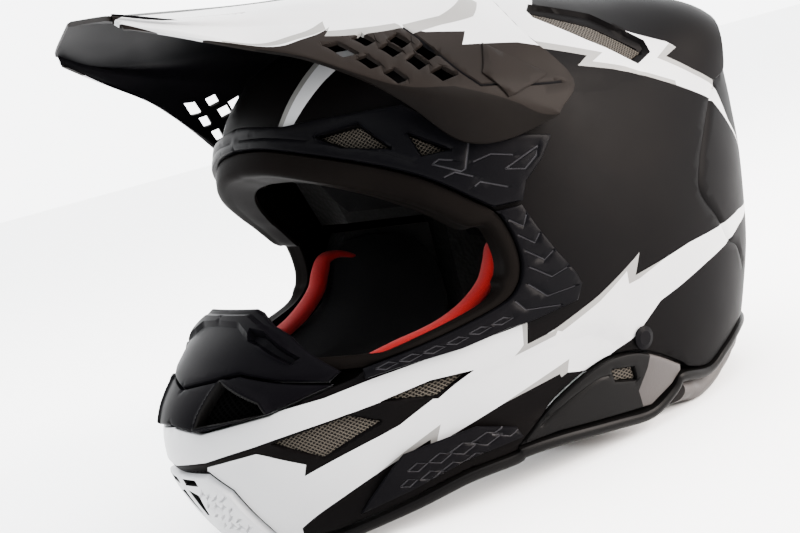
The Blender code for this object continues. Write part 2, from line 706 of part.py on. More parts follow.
def make_base_trim():
    """The rubber bead along the whole lower edge, cut flat where the chin stands."""
    half = outline(("front", 0, 4.5), ("front", 20, 5), ("front", 40, 7), *LOWER_LIP, *TRIM_LIP, *REAR_HEM[1:])
    half = smoothed(half, 2)
    half[:, 1] -= EDGE_GAP
    front = np.array(half)
    front[0, 0], front[-1, 0] = FRONT_EDGE, REAR_EDGE
    other = front[1:-1][::-1] * (-1, 1) + (2 * FRONT_EDGE, 0)
    other[:, 0] += 2 * pi * CHART_RADIUS
    loop = np.concatenate((front, other))
    route, out = skin(loop), normals(loop)
    bead = (
        (0.3, -6.5), (0.3, 1.5), (3.0, 2.4), (TRIM_HEIGHT, 1.0), (TRIM_HEIGHT + 1, -3.0),
        (TRIM_HEIGHT - 1, -6.5),
    )  # fmt: skip
    node("base_trim", sweep(route, out, bead), "rubber", flat_foot=True)


def make_outer_pieces():
    make_shell()
    make_vent_meshes()
    make_brow_frame()
    make_side_frames()
    make_gasket()
    make_nose_pieces()
    make_mouthpiece()
    make_lower_panels()
    make_side_trims()
    make_base_trim()


# ---------------------------------------------------------------- liners and strap


def make_liners():
    edge = outline(*CROWN_FOAM_EDGE)
    edge = np.concatenate((edge, [(REAR_EDGE, POLE), (FRONT_EDGE, POLE)]))
    edge[0, 0] = FRONT_EDGE
    edge[len(CROWN_FOAM_EDGE) - 1, 0] = REAR_EDGE
    outer = -SHELL_WALL - 1.2
    node("crown_foam", plate(edge, outer, outer - CROWN_FOAM, (), SOFT_NET, halves=True), "foam")
    side = plate(outline(*SIDE_FOAM_EDGE)[::-1], outer, outer - SIDE_FOAM, (), SOFT_NET)
    pair("side_foam", side, "foam")
    edge = outline(*CROWN_PAD_EDGE)
    edge = np.concatenate((edge, [(REAR_EDGE, POLE), (FRONT_EDGE, POLE)]))
    edge[0, 0] = FRONT_EDGE
    edge[len(CROWN_PAD_EDGE) - 1, 0] = REAR_EDGE
    outer = outer - CROWN_FOAM - 1.5
    pad = plate(edge, outer, outer - CROWN_PAD_DEPTH, (), SOFT_NET, halves=True)
    node("crown_pad", pad, "dark_fabric")


def make_cheek_pads():
    outer = -SHELL_WALL - 1.2 - SIDE_FOAM - 1.7
    pad = plate(outline(*CHEEK_PAD_EDGE)[::-1], outer, outer - CHEEK_PAD_DEPTH, (), SOFT_NET)
    pair("cheek_pad", pad, "dark_fabric", CHEEK_SLIDE_START)
    chart = smoothed(outline(*CHEEK_TRIM_ROUTE), 2)
    out = normals(chart)
    route = skin(chart) + out * (outer - 6.0)
    trim = sweep(route, out, [(x - 4.6, y) for x, y in oval(3.6, 6.0, 8, 2.6)], closed=False)
    pair("cheek_trim", trim, "red_fabric", CHEEK_SLIDE_START)


def make_neck_roll():
    """The padded roll under the rear hem, cut flat where the helmet stands on it."""
    half = smoothed(outline(*REAR_HEM), 2)
    half[-1, 0] = REAR_EDGE
    other = half[:-1][::-1] * (-1, 1) + (2 * REAR_EDGE, 0)
    chart = np.concatenate((half, other))
    roll = sweep(skin(chart), normals(chart), ROLL_PROFILE, closed=False)
    node("neck_roll", roll, "neck_cover", flat_foot=True)


def strap_route():
    half = np.array(STRAP_ROUTE)
    other = half[:-1][::-1] * (-1, 1, 1)
    return smoothed(np.concatenate((half, other)), 3) * FIT


def route_out(route, width_axis=(0.0, 1.0, 0.0)):
    """The directions square to a flat band whose width lies near the given axis."""
    ahead = np.gradient(route, axis=0)
    out = np.cross(ahead, width_axis)
    return out / np.linalg.norm(out, axis=1, keepdims=True)


def make_strap():
    route = strap_route()
    out = route_out(route)
    band = sweep(route, out, oval(STRAP_WIDTH / 2, STRAP_THICKNESS / 2, 8, 6.0), closed=False)
    axis_point = (0.0, STRAP_PIVOT[0], STRAP_PIVOT[1])
    node("chin_strap", band, "webbing", axis_point)
    rings = []
    for place in RING_PLACES:
        nearest = int(np.argmin(np.abs(route[:, 0] - place)))
        rings.append(strap_ring(route[nearest], out[nearest]))
    for name, solid in zip(("strap_ring_outer", "strap_ring_inner"), rings):
        node(name, solid, "steel", axis_point)


def strap_ring(centre, out):
    """A soft rectangle of wire round the band."""
    across = np.array((0.0, 1.0, 0.0))
    across = across - out * (across @ out)
    across /= np.linalg.norm(across)
    half_width = STRAP_WIDTH / 2 + RING_WIRE / 2 + 1.0
    half_height = STRAP_THICKNESS / 2 + RING_WIRE / 2 + 0.6
    points = [centre + across * x + out * y for x, y in oval(half_width, half_height, 20, 5.0)]
    route = np.array(points)
    along = np.cross(across, out)
    return sweep(route, np.tile(along, (len(route), 1)), oval(RING_WIRE / 2, RING_WIRE / 2, 6))


def make_rivets():
    """Rivets hold the strap's ends to the shell, one each side."""
    chart = np.array([chart_of(STRAP_PIVOT)])
    place, out = skin(chart)[0], normals(chart)[0]
    head = disc(place + out * 0.6, out, ((0.0, RIVET_RADIUS), (0.8, RIVET_RADIUS), (1.6, RIVET_RADIUS * 0.6)))
    pair("strap_rivet", head, "steel")


# ---------------------------------------------------------------- visor


RAILS = np.array(VISOR_RAILS, float)


def rail_points(along, across):
    """Points of the visor between its rails: along from 0 to 8, across from 0 to 5."""
    lines = curve_through(np.swapaxes(RAILS, 0, 1), along)
    found = np.empty(along.shape + (3,))
    for k, (line, place) in enumerate(zip(lines, across)):
        found[k] = curve_through(line, np.array([place]), ends="straight")[0]
    return found


def curve_through(knots, places, ends="straight"):
    """Catmull-Rom values between evenly numbered knots."""
    last = len(knots) - 1
    places = np.clip(places, 0, last)
    row = np.minimum(places.astype(int), last - 1)
    part = (places - row).reshape((-1,) + (1,) * (knots.ndim - 1))
    b, c = knots[row], knots[row + 1]
    a = np.where((row > 0).reshape(part.shape), knots[np.maximum(row - 1, 0)], 2 * b - c)
    d = np.where((row < last - 1).reshape(part.shape), knots[np.minimum(row + 2, last)], 2 * c - b)
    pull = (c - a) * part + (2 * a - 5 * b + 4 * c - d) * part**2 + (3 * b - a - 3 * c + d) * part**3
    return b + pull / 2


RAIL_PLACES = np.array((0.0, 44.0, 62.0, 76.0, 90.0, 104.0))
LAST_STATION = RAILS.shape[1] - 1


def visor_surface(chart):
    """The visor's upper face at (across, along) chart places of about one millimetre each."""
    flat = chart.reshape(-1, 2)
    along = flat[:, 1] / VISOR_STRIDE
    across = np.interp(np.abs(flat[:, 0]), RAIL_PLACES, np.arange(len(RAIL_PLACES)))
    points = rail_points(along, across)
    points[:, 1] += (along - np.clip(along, 0, LAST_STATION)) * VISOR_STRIDE
    points[:, 0] *= np.where(flat[:, 0] < 0, -1, 1)
    return (points * FIT).reshape(chart.shape[:-1] + (3,))


def visor_holes():
    """Diamond holes in three staggered rows on the side of the visor, the first one largest."""
    holes = []
    for first_across, first_along, count in HOLE_ROWS:
        for k in range(count):
            centre = np.array((first_across + k * HOLE_STEP[0], first_along + k * HOLE_STEP[1]))
            half_across, half_along = HOLE_HALF if holes else FIRST_HOLE_HALF
            corners = ((-half_across, 0), (0, -half_along), (half_across, 0), (0, half_along))
            holes.append(centre + np.array(corners))
    return holes


def make_visor():
    length = LAST_STATION * VISOR_STRIDE
    corner = RAIL_PLACES[-1]
    edge = np.array(((0, 0), (corner, 0), (corner, length), (0, length)), float)
    solid = plate(edge, 0.0, -VISOR_WALL, visor_holes(), VISOR_NET, halves=True, surface=visor_surface)
    node("visor", solid, "painted_shell", visor_axis())


def visor_axis():
    return tuple(np.array((0.0, *VISOR_PIVOT)) * FIT)


def make_visor_caps():
    """A flat cover over each pivot screw."""
    solid = plate(np.array(CAP_EDGE), LAYER_GAP + CAP_WALL, LAYER_GAP, (), FINE_NET, surface=visor_surface)
    pair("visor_cap", solid, "black_plastic", visor_axis())


def make_visor_screws():
    """The middle screw's head on top, and a boss each side that carries the visor on the shell."""
    head = ((0.0, SCREW_RADIUS), (1.6, SCREW_RADIUS), (2.4, SCREW_RADIUS * 0.8))
    chart = np.array([(0.0, 7.2 * VISOR_STRIDE)])
    out = normals(chart, visor_surface)[0]
    middle = visor_surface(chart)[0]
    node("visor_screw_middle", disc(middle + out * 0.9, out, head), "black_plastic", visor_axis())
    centre = np.array(chart_of(VISOR_PIVOT))
    turns = np.linspace(0, 2 * pi, 12, endpoint=False)
    rim = centre + BOSS_RADIUS * np.stack((np.cos(turns), np.sin(turns)), 1)
    solid = plate(rim, visor_clearance(rim) - LAYER_GAP, LAYER_GAP, (), FINE_NET)
    pair("visor_boss", solid, "black_plastic", visor_axis())


def visor_clearance(chart):
    """The least room between the skin at these chart points and the visor's lower face."""
    across, along = np.meshgrid(np.linspace(30, 104, 75), np.linspace(104, 208, 105))
    under = visor_surface(np.stack((across, along), -1).reshape(-1, 2))
    gaps = np.linalg.norm(skin(chart)[:, None] - under[None], axis=2).min(1)
    return float(gaps.min()) - VISOR_WALL


def make_helmet():
    clear_scene()
    make_outer_pieces()
    make_liners()
    make_cheek_pads()
    make_neck_roll()
    make_strap()
    make_rivets()
    make_visor()
    make_visor_caps()
    make_visor_screws()


make_helmet()
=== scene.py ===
from math import cos, pi, radians, sin

import bpy
import numpy as np
from mathutils import Matrix, Vector
from mathutils.geometry import delaunay_2d_cdt


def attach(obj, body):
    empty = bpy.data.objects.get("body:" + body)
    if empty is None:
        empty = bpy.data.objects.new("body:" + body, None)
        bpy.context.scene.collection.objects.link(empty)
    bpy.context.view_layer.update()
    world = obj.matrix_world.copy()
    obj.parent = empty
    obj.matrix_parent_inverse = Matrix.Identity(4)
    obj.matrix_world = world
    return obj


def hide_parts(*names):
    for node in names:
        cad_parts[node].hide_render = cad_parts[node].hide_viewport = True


# The looks of an off-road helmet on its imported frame. The pieces are drawn in millimetres in the
# wearer's frame, on the same skin as the frame's plates, then set down on z = 0 in metres.
# +X is the wearer's left, -Y is ahead and +Z is up.

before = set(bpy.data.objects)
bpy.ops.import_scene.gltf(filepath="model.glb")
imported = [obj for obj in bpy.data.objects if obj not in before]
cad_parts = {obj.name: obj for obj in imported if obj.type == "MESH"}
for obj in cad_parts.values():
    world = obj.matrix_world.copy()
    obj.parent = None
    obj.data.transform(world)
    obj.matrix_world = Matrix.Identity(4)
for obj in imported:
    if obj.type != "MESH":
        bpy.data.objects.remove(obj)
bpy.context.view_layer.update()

# Walls and depths, as in the frame.
SHELL_WALL = 4.0
FRAME_DEPTH = 3.4
NOSE_DEPTH = 3.2
EDGE_GAP = 0.5
LAYER_GAP = 0.7
LINER_GAP = 1.2
CROWN_FOAM = 27.0
SIDE_FOAM = 15.0
CROWN_PAD_GAP = 1.5
CROWN_PAD_DEPTH = 10.0
CHEEK_PAD_GAP = 1.7
CHEEK_PAD_DEPTH = 23.0
VISOR_WALL = 2.6
TRIM_HEIGHT = 6.0
STRAP_WIDTH = 22.0
STRAP_THICKNESS = 2.4

# The shell's relief: the recess round its vents, the crease round its rear panel, the ridge over
# its side and the rear top corner, which stands proud.
RECESS_DEPTH = 2.2
CREASE_DEPTH = 1.1
RIDGE_DEPTH = 0.8
CORNER_HEIGHT = 8.0
CORNER_RADIUS = 34.0

# The wire meshes, and half the width of the painted highlight along a groove.
MESH_THICKNESS = 1.0
MESH_RIM = 0.4
PAINTED_HIGHLIGHT_HALF_WIDTH = 0.3

# Resting pose.
REST_PITCH = radians(10.06)
REST_DROP = 30.0
REST_SHIFT = -4.4

# Distance between points of the nets, the share of it along an outline, the rows of points beside
# an outline as shares of its rim, how near two of those may be, and the chart's scale round the skin.
NET = 5.0
FINE_NET = 3.0
VISOR_NET = 4.0
SOFT_NET = 6.0
EDGE_SHARE = 0.7
RIM_ROWS = (0.35, 1.0)
CROWDED = 0.5
CHART_RADIUS = 125.0

# The camera, in the wearer's frame.
CAMERA_PLACE = (562.3, -412.5, 165.9)
CAMERA_AIM = (0.0, -51.5, 139.9)
CAMERA_ROLL = radians(-6.77)
CAMERA_LENS = 50.9

# Horizontal sections of the skin: height, front, rear, half width, widest place,
# roundness of the front and of the rear (2 is an ellipse, more is boxier).
SECTIONS = np.array(
    (
        (-10, -158, 112, 88, 10, 2.2, 2.4),
        (10, -178, 132, 99, 10, 2.1, 2.4),
        (32, -194, 146, 108, 12, 2.05, 2.4),
        (56, -204, 158, 114, 14, 2.0, 2.5),
        (80, -201, 166, 119, 14, 2.05, 2.6),
        (105, -182, 170, 121.5, 16, 2.2, 2.7),
        (130, -160, 172, 123.5, 18, 2.3, 2.8),
        (160, -153, 173, 124.5, 20, 2.25, 2.8),
        (190, -148, 171, 123.5, 22, 2.3, 2.9),
        (215, -145.5, 165, 121, 24, 2.3, 3.1),
        (239, -137, 158, 114, 26, 2.3, 3.7),
        (259, -121, 152, 102, 28, 2.2, 5.0),
        (275, -94, 142, 87, 28, 2.1, 5.0),
        (288, -55, 118, 63, 24, 2.0, 3.6),
        (296, -14, 62, 30, 16, 2.0, 2.2),
        (298, 8, 8, 0, 8, 2.0, 2.0),
    )
)

# Outlines of one half, as (ahead-behind, height) seen from the side, or with a leading "front" or
# "rear" as (sideways, height), or with a leading "top" as (sideways, ahead-behind).
EYEPORT = (
    ("front", 0, 214), ("front", 27, 212), ("front", 54, 206), ("front", 78, 198),
    (-103, 191), (-90, 184), (-75, 174), (-64, 166), (-58, 155), (-55, 144), (-55, 135), (-58, 127),
    (-66, 120), (-89, 111), (-114, 103), ("front", 86, 97),
)
EYEPORT_SILL = (("front", 60, 99), ("front", 30, 102), ("front", 0, 103))
NOSE_SEAT = (("front", 78, 90), ("front", 58, 79), ("front", 26, 71.5), ("front", 0, 74))
BROW_TOP = (
    ("front", 0, 226), ("front", 12, 225), ("front", 42, 221), ("front", 73, 222), (-97, 223),
    (-90, 217), (-75, 206), (-50, 203), (-29, 201), (-37, 189), (-47, 179), (-50, 169.5), (-65, 168),
)
SIDE_FRAME_REAR = (
    (-64.5, 165.5), (-51, 167.5), (-44, 155), (-35, 142), (-25, 130), (-22, 124), (-25, 116),
    (-53, 109), (-66, 107), (-90, 100.5), (-117, 96), (-135, 92),
)
MOUTH = (("front", 0, 49), ("front", 24, 50), ("front", 33, 40), ("front", 36, 14), ("front", 38, 8))
MOUTH_FOOT = ("front", 0, 6)
LOWER_LIP = ((-145, 15), (-115, 27), (-88, 37), (-62, 42))
PAINT_HEM = ((-58, 46), (-36, 66), (-10, 80), (12, 83), (30, 79), (52, 70))
REAR_HEM = ((60, 66), (80, 64), (99, 73), (125, 84), ("rear", 60, 88), ("rear", 0, 88))
TRIM_LIP = ((-58, 44.5), (-35, 47), (0, 48), (29, 49), (45, 58), (52, 65))
CHIN_VENT_FRONT = ((-175, 64.5), (-144, 74), (-131, 69), (-155, 55))
CHIN_VENT_REAR = ((-128, 80), (-106, 85), (-88, 87.5), (-103, 78.5))
NECK_VENT = ((-2, 75), (14, 74), (17, 66), (1, 68))
BROW_VENT_INNER = (("front", 61, 213), ("front", 77, 215.5), ("front", 88, 203), ("front", 72, 207))
BROW_VENT_OUTER = ((-97, 208), (-83, 199), (-93, 198))
TOP_VENT = (
    ("top", 88, -6), ("top", 92, -5), ("top", 105, 16), ("top", 113, 43), ("top", 111, 52),
    ("top", 100, 26),
)
REAR_VENT = (("rear", 28, 224), ("rear", 62, 220), ("rear", 58, 206), ("rear", 30, 209))
NOSE_TOP = (
    ("front", 0, 129), ("front", 28, 129), ("front", 42, 122), ("front", 56, 116), ("front", 80, 97),
    ("front", 77, 92.5),
)
NOSE_SEAM = (("front", 60, 95), ("front", 40, 99), ("front", 24, 96), ("front", 0, 92))
INTAKE = (("front", 31, 94.5), ("front", 54, 84.5), ("front", 57, 80), ("front", 25, 75))
LOWER_PANEL = ((-138, 24), (-120, 52), (-84, 60), (-62, 56), (-58, 50), (-88, 43.5), (-115, 33))
CHEEK_PAD_EDGE = (
    (-132, 94), (-106, 101), (-80, 108), (-63, 118), (-56, 128), (-52, 140), (-50, 152), (-20, 160),
    (25, 154), (44, 122), (42, 84), (20, 70), (-30, 66), (-80, 58), (-128, 66),
)
CHEEK_TRIM_ROUTE = (
    (-136, 101), (-118, 105), (-96, 110), (-79, 118), (-66, 129), (-61, 140), (-57, 149), (-46, 150),
    (-26, 141), (-2, 126),
)
CHEEK_TRIM_SIZES = (0.8, 0.85, 0.95, 1, 1, 1, 0.85, 0.5, 0.35, 0.3)
CROWN_PAD_EDGE = (
    ("front", 0, 228), ("front", 60, 220), (-70, 200), (-40, 178), (50, 178), (70, 150),
    (120, 140), ("rear", 0, 140),
)

# Paint on the shell's near half, in the order it goes on.
SIDE_WHITE = (
    ("front", 0, 82), ("front", 26, 78), ("front", 57, 79.5), (-153, 85), (-132, 91.5), (-95, 100),
    (-69, 105), (-54, 108), (-55, 96), (-39, 102), (-25, 107), (-13, 114), (-9, 116), (21, 135),
    (17, 123), (40, 129.5), (61, 136), (94, 143), (118, 150), ("rear", 84, 156), (117, 141),
    (101, 133), (75, 123), (51, 113), (35, 107), (18, 93), (3, 85), (-10, 76), (-30, 78), (-29, 85),
    (-68, 68), (-82, 62), (-103, 53), (-101, 63), (-131, 43), (-148, 31), (-161, 17),
    ("front", 44, 2), ("front", 0, 2),
)
CHIN_WEDGE = (
    ("front", 0, 53), ("front", 27, 57), ("front", 51, 64), (-147, 75), (-120, 82), (-84, 88.5),
    (-101, 79), (-121, 66), (-130, 62), (-163, 46), ("front", 66, 52), ("front", 51, 60),
    ("front", 26, 54), ("front", 22, 49), ("front", 0, 46),
)
SIDE_GREYS = (
    ((-39, 102), (-13, 114), (-9, 116), (21, 135), (17, 123), (40, 129.5), (20, 121), (12, 119),
     (11, 126), (-9, 112.5), (-34, 100.5)),
    ((-29, 85), (-68, 68), (-35, 78), (-34, 76), (-30, 78)),
    ((-101, 63), (-131, 43), (-106, 56), (-106, 51), (-103, 53)),
    ((-57, 107.5), (-54, 108), (-55, 97), (-36, 102.5), (-38, 99), (-62, 92), (-57, 97)),
)
TOP_WHITE = (
    ("top", 0, -70), ("top", 66, -75), ("top", 88, -52), ("top", 103, -29), (10, 242.5), (1, 237),
    (36, 232.5), (68, 223.5), (100, 214), (120, 199), ("rear", 88, 176), (118, 203), (105, 224),
    (84, 232), (67, 240), (77, 244.5), ("top", 109, 72), ("top", 105, 53), ("top", 84, 0),
    ("top", 56, 16), ("top", 60, 40), ("top", 26, 22), ("top", 0, 62),
)
TOP_GREYS = (
    (("top", 103, -29), (10, 242.5), (1, 237), (36, 232.5), (68, 223.5), (68, 226), (34, 235.5),
     (12, 239), (22, 244), ("top", 101, -26)),
    ((105, 224), (84, 232), (67, 240), (77, 244.5), (73, 247), (60, 239.5), (84, 229), (105, 221)),
)
FORE_GREY = (("front", 43, 258), ("front", 34.5, 219), ("front", 38, 218), ("front", 47, 258))
FORE_WHITE = (
    ("front", 47, 258), ("front", 37.5, 218), ("front", 43, 217), ("front", 56, 243),
    ("front", 62, 258),
)

# The dark recess the top vent lies in.
TOP_SCOOP = (
    ("top", 83, -2), ("top", 88, -8), ("top", 93, -8), ("top", 107, 16), ("top", 115, 44),
    ("top", 112, 57), ("top", 108, 57), ("top", 94, 32),
)

# Shallow steps and grooves on the shell.
CHIN_STEP = (
    ("front", 0, 53), ("front", 27, 57), ("front", 51, 64), (-147, 75), (-120, 82), (-84, 88.5),
    (-55, 96), (-30, 102), (-10, 101), (7, 94), (16, 84), (-30, 60), (-80, 48), (-131, 30),
    (-161, 10), ("front", 0, 10),
)
REAR_GROOVE = (
    ("top", 50, 138), ("top", 70, 136), ("top", 88, 130), ("top", 101, 121), (118, 232),
    (105, 224), (97, 214), (87, 197), (79, 181), (75, 166), (80, 157), (90, 148), (101, 134),
    (114, 129), (124, 118),
)
SIDE_RIDGE = ((-12, 227), (15, 227), (29, 232), (43, 232))

# The middle of the proud corner, and the corners of the region ahead of the crease.
REAR_CORNER = ("top", 100, 116)
AHEAD_OF_CREASE = ((124, 60), (-50, 100), (-100, 230))

# Relief of the brow frame, the nose guard, the mouthpiece, the chin panel and the side trim.
BROW_MARKS = (
    ((-72, 191), (-63, 194), (-52, 192.5)),
    ((-90, 192), (-87, 194), (-81, 193)),
    ((-90, 192), (-78, 187), (-76, 188), (-72, 203)),
    ((-57, 186), (-38, 196), (-40, 191), (-47, 185), (-57, 186)),
    ((-86, 185), (-81, 187), (-73, 184)),
    ((-73, 179), (-70, 181), (-57, 177)),
)
BROW_LIP = (("front", 4, 219), ("front", 30, 217), ("front", 56, 212), ("front", 80, 205), (-97, 194))
NOSE_RIDGE = (
    ("front", 0, 126), ("front", 26, 126), ("front", 41, 120), ("front", 54, 114),
    ("front", 68, 103), ("front", 62, 101), ("front", 38, 112), ("front", 22, 119), ("front", 0, 120),
)
NOSE_SLOT = (
    ("front", 34, 118), ("front", 44, 116.5), ("front", 66, 104.5), ("front", 63, 101),
    ("front", 45, 110), ("front", 35, 113),
)
MOUTH_SLOTS = (
    (("front", 4, 46.8), ("front", 15, 47), ("front", 15, 44.4), ("front", 4, 44)),
    (("front", 3, 40), ("front", 10, 38), ("front", 5, 26), ("front", 3, 26)),
)
PANEL_MARKS = ((-118, 40), (-72, 50))
TRIM_GROOVE = ((-46, 53), (-30, 63), (-12, 71), (-4, 72))
TRIM_COVER = ((26, 40), (18, 60), (24, 72), (30, 92), (64, 92), (64, 40))

# The eyeport rubber's section, as (into the opening, out of the skin), its clamped depth, how far
# it sinks behind the nose guard, the share of its lip left beside the cheeks and on the sill, the
# opening's half width and the height under which the rubber counts as the sill.
GASKET_LIP = (
    (0.9, 0.6), (1.6, 1.5), (4.0, 1.9), (7.0, 1.7), (10.0, 1.3), (12.0, 0.4), (13.2, -1.0),
    (14.0, -3.5), (13.6, -6.0), (14.2, -8.5), (14.6, -14.0), (15.0, -20.4), (14.0, -21.5),
    (12.5, -21.5), (11.8, -15.0), (10.5, -8.0), (2.0, -8.0), (-6.0, -8.0), (-6.0, -5.4),
    (0.9, -5.4), (0.9, -2.0),
)
GASKET_FLOOR = -8.0
GASKET_SINK = 9.0
CHEEK_REACH = 0.58
SILL_REACH = 0.25
EYEPORT_HALF_WIDTH = 124.5
SILL_TOP = 120.0

# The visor's rails, front to rear, as (sideways, ahead-behind, height), from its middle outwards.
VISOR_RAILS = (
    ((0, -231, 285), (0, -207, 288), (0, -177, 290.5), (0, -147, 293), (0, -120, 296), (0, -95, 300),
     (0, -70, 304), (0, -45, 306), (0, -20, 307)),
    ((42, -226, 279), (52, -203, 275), (58, -172, 276), (62, -145, 279), (65, -120, 282),
     (69, -96, 284), (72, -72, 286), (70, -48, 290), (62, -25, 293)),
    ((46, -224, 276.5), (57, -201, 271.5), (67, -170, 268), (77, -146, 267), (84, -122, 266),
     (90, -100, 264), (95, -77, 263), (103, -50, 260), (110, -29, 256)),
    ((48, -223, 275), (60, -200, 269), (72, -169, 263), (84, -146, 259), (95, -125, 252),
     (103, -104, 247), (110, -82, 242), (118, -52, 237), (124.5, -12, 229)),
    ((50, -222, 273), (63, -199, 267), (76, -168, 258), (90, -147, 250), (101, -127, 240),
     (111, -107, 230), (117.5, -88, 225), (124, -56, 221), (128.5, -26, 213)),
    ((50.5, -221, 271), (64, -198, 264.5), (77.5, -167, 255.5), (91.5, -146, 247.5),
     (102, -126, 236), (109.5, -106, 221), (115, -82, 202), (121, -58, 200), (127.5, -27, 210)),
)
VISOR_STRIDE = 26.0

# The visor's diamond holes, on its chart: each row's first centre and count, the step from one to
# the next, and half the size of the very first and of the rest.
HOLE_ROWS = ((78.0, 97.5, 3), (70.0, 112.5, 4), (69.0, 133.5, 2))
HOLE_STEP = (3.8, 14.0)
FIRST_HOLE_HALF = (4.6, 9.5)
HOLE_HALF = (3.5, 7.0)

# The cap over the visor's pivot screw.
CAP_EDGE = ((68, 176), (80, 172), (90, 182), (88, 186), (76, 198))

# Paint and grooves on the visor's near half, on its chart, with a patch of painted shade over its lower
# side.
# The white ends 1.4 mm short of the visor's rear edge, so a dark line is left there: painted shadow of the
# gap to the shell.
VISOR_WHITE = (
    (12, 22), (40, 8), (57, 3), (80, -4), (110, 20), (101, 40), (84, 68), (64, 96), (71, 91),
    (63, 139), (65, 151), (64, 171), (69, 167), (66, 195), (66, 206.6), (10, 206.6), (26, 150),
    (14, 100),
)
VISOR_PALE = (
    ((62, 139), (66, 142), (64, 152), (58, 180), (53, 190), (50, 183), (58, 162)),
    ((101, 40), (64, 96), (71, 91), (63, 139), (61, 135), (67, 93), (60, 94), (97, 40)),
)
# Painted shade: a darker patch over the visor's lower side, where it falls in shade.
VISOR_PAINTED_SHADE = ((106, 40), (97, 92), (90, 128), (87, 160), (92, 188), (100, 212), (106, 212))
VISOR_GROOVES = (
    ((63, 139), (74, 155), (86, 171), (83, 188), (78, 203)),
    ((8, 14), (40, 20), (44, 60)),
)

# The neck roll's outline as (below the hem, out of the skin), and its steps from seam to seam.
ROLL_PROFILE = (
    (-6, -10.5), (4, -10.5), (9.5, -4), (14, -0.5), (20, -3), (25, -11), (26.5, -20), (22, -29),
    (8, -33), (-6, -31),
)
ROLL_SEAM_EVERY = 20

# The strap's route from the left rivet to the middle, in the wearer's frame.
STRAP_ROUTE = (
    (113.0, 20, 89), (112, 17, 76), (108, 12, 62), (99, 5, 51), (84, -2, 45), (60, -8, 42),
    (30, -11, 41), (0, -12, 41),
)

# Materials of the relief pieces, the shell and the visor, and their slots on the last two.
# The relief pieces' second look is a painted highlight along the edges of their grooves.
RELIEF_LOOKS = ("black_plastic", "edge_sheen")
SHELL_LOOKS = ("black_paint", "white_paint", "pale_paint")
VISOR_LOOKS = ("visor_grey", "white_paint", "pale_paint", "black_plastic", "visor_shade")
# The last slot holds the painted shade on the visor's lower side.
BLACK, WHITE, PALE, UNDERSIDE, PAINTED_SHADE = range(5)

# The room: how bright it is in front and behind, and the lamps as
# (name, place, size, power, colour).
ROOM_GLOW = 0.7
BACKDROP_GLOW = 7.0
BACKDROP_SIDE = (-0.85, 0.52, 0.0)
FLOOR_HALF = 60.0
LIGHT_AIM = (0.0, 0.0, 0.13)
LIGHTS = (
    ("key", (0.9, -1.5, 1.5), (1.2, 1.2), 14, (1.0, 1.0, 1.0)),
    ("rear_side", (1.5, 1.1, 0.75), (0.6, 1.4), 260, (1.0, 0.9, 0.83)),
    ("top", (0.2, 0.3, 1.9), (1.6, 1.2), 30, (1.0, 1.0, 1.0)),
)


# ---------------------------------------------------------------- the skin


KNOTS = np.concatenate(([0.0], np.cumsum(np.hypot(np.diff(SECTIONS[:, 3]), np.diff(SECTIONS[:, 0])))))
SLOPES = np.gradient(SECTIONS, KNOTS, axis=0, edge_order=1)
SLOPES[-1, 0] = 0.0
POLE = KNOTS[-1]
FRONT_EDGE = -pi / 2 * CHART_RADIUS
REAR_EDGE = pi / 2 * CHART_RADIUS


def section(up):
    """The section at a chart height, as columns in the order of SECTIONS."""
    up = np.clip(np.asarray(up, float), 0.0, POLE)
    row = np.clip(np.searchsorted(KNOTS, up) - 1, 0, len(KNOTS) - 2)
    span = (KNOTS[row + 1] - KNOTS[row])[..., None]
    part = (up - KNOTS[row])[..., None] / span
    start = (1 + 2 * part) * (1 - part) ** 2 * SECTIONS[row]
    end = part**2 * (3 - 2 * part) * SECTIONS[row + 1]
    lean = part * (1 - part) ** 2 * SLOPES[row] + part**2 * (part - 1) * SLOPES[row + 1]
    return np.moveaxis(start + end + span * lean, -1, 0)


def skin(chart):
    """Points of the skin at (around, up) chart places."""
    angle = chart[..., 0] / CHART_RADIUS
    height, front, rear, half, widest, blunt_front, blunt_rear = section(chart[..., 1])
    ahead = np.sin(angle) < 0
    power = np.where(ahead, blunt_front, blunt_rear)
    depth = np.where(ahead, widest - front, rear - widest)
    reach = (np.abs(np.cos(angle)) ** power + np.abs(np.sin(angle)) ** power) ** (-1 / power)
    points = (half * np.cos(angle) * reach, widest + depth * np.sin(angle) * reach, height)
    return np.stack(points, -1)


def normals(chart, surface=skin, step=0.5):
    """Unit normals of a chart's surface, pointing out."""
    along = np.array((step, 0.0))
    across = np.array((0.0, step))
    around = surface(chart + along) - surface(chart - along)
    rise = surface(chart + across) - surface(chart - across)
    found = np.cross(around, rise)
    found /= np.maximum(np.linalg.norm(found, axis=-1, keepdims=True), 1e-9)
    if surface is skin:
        found[chart[..., 1] > POLE - 2] = (0.0, 0.0, 1.0)
    return found


HEIGHT_TABLE = np.linspace(0.0, POLE, 1500)
HEIGHTS = section(HEIGHT_TABLE)[0]


def chart_of(place):
    """The chart point of one outline point."""
    kind, first, second = place if len(place) == 3 else ("side", *place)
    if kind == "top":
        return chart_from_top(first, second)
    up = float(np.interp(second, HEIGHTS, HEIGHT_TABLE))
    _, front, rear, half, widest, blunt_front, blunt_rear = section(up)
    ahead = first < widest if kind == "side" else kind == "front"
    power = blunt_front if ahead else blunt_rear
    if kind == "side":
        lengthwise = min(abs(first - widest) / (widest - front if ahead else rear - widest), 1.0)
        sideways = (1 - lengthwise**power) ** (1 / power)
    else:
        sideways = min(first / half, 1.0)
        lengthwise = (1 - sideways**power) ** (1 / power)
    angle = np.arctan2(-lengthwise if ahead else lengthwise, sideways)
    return (float(angle) * CHART_RADIUS, up)


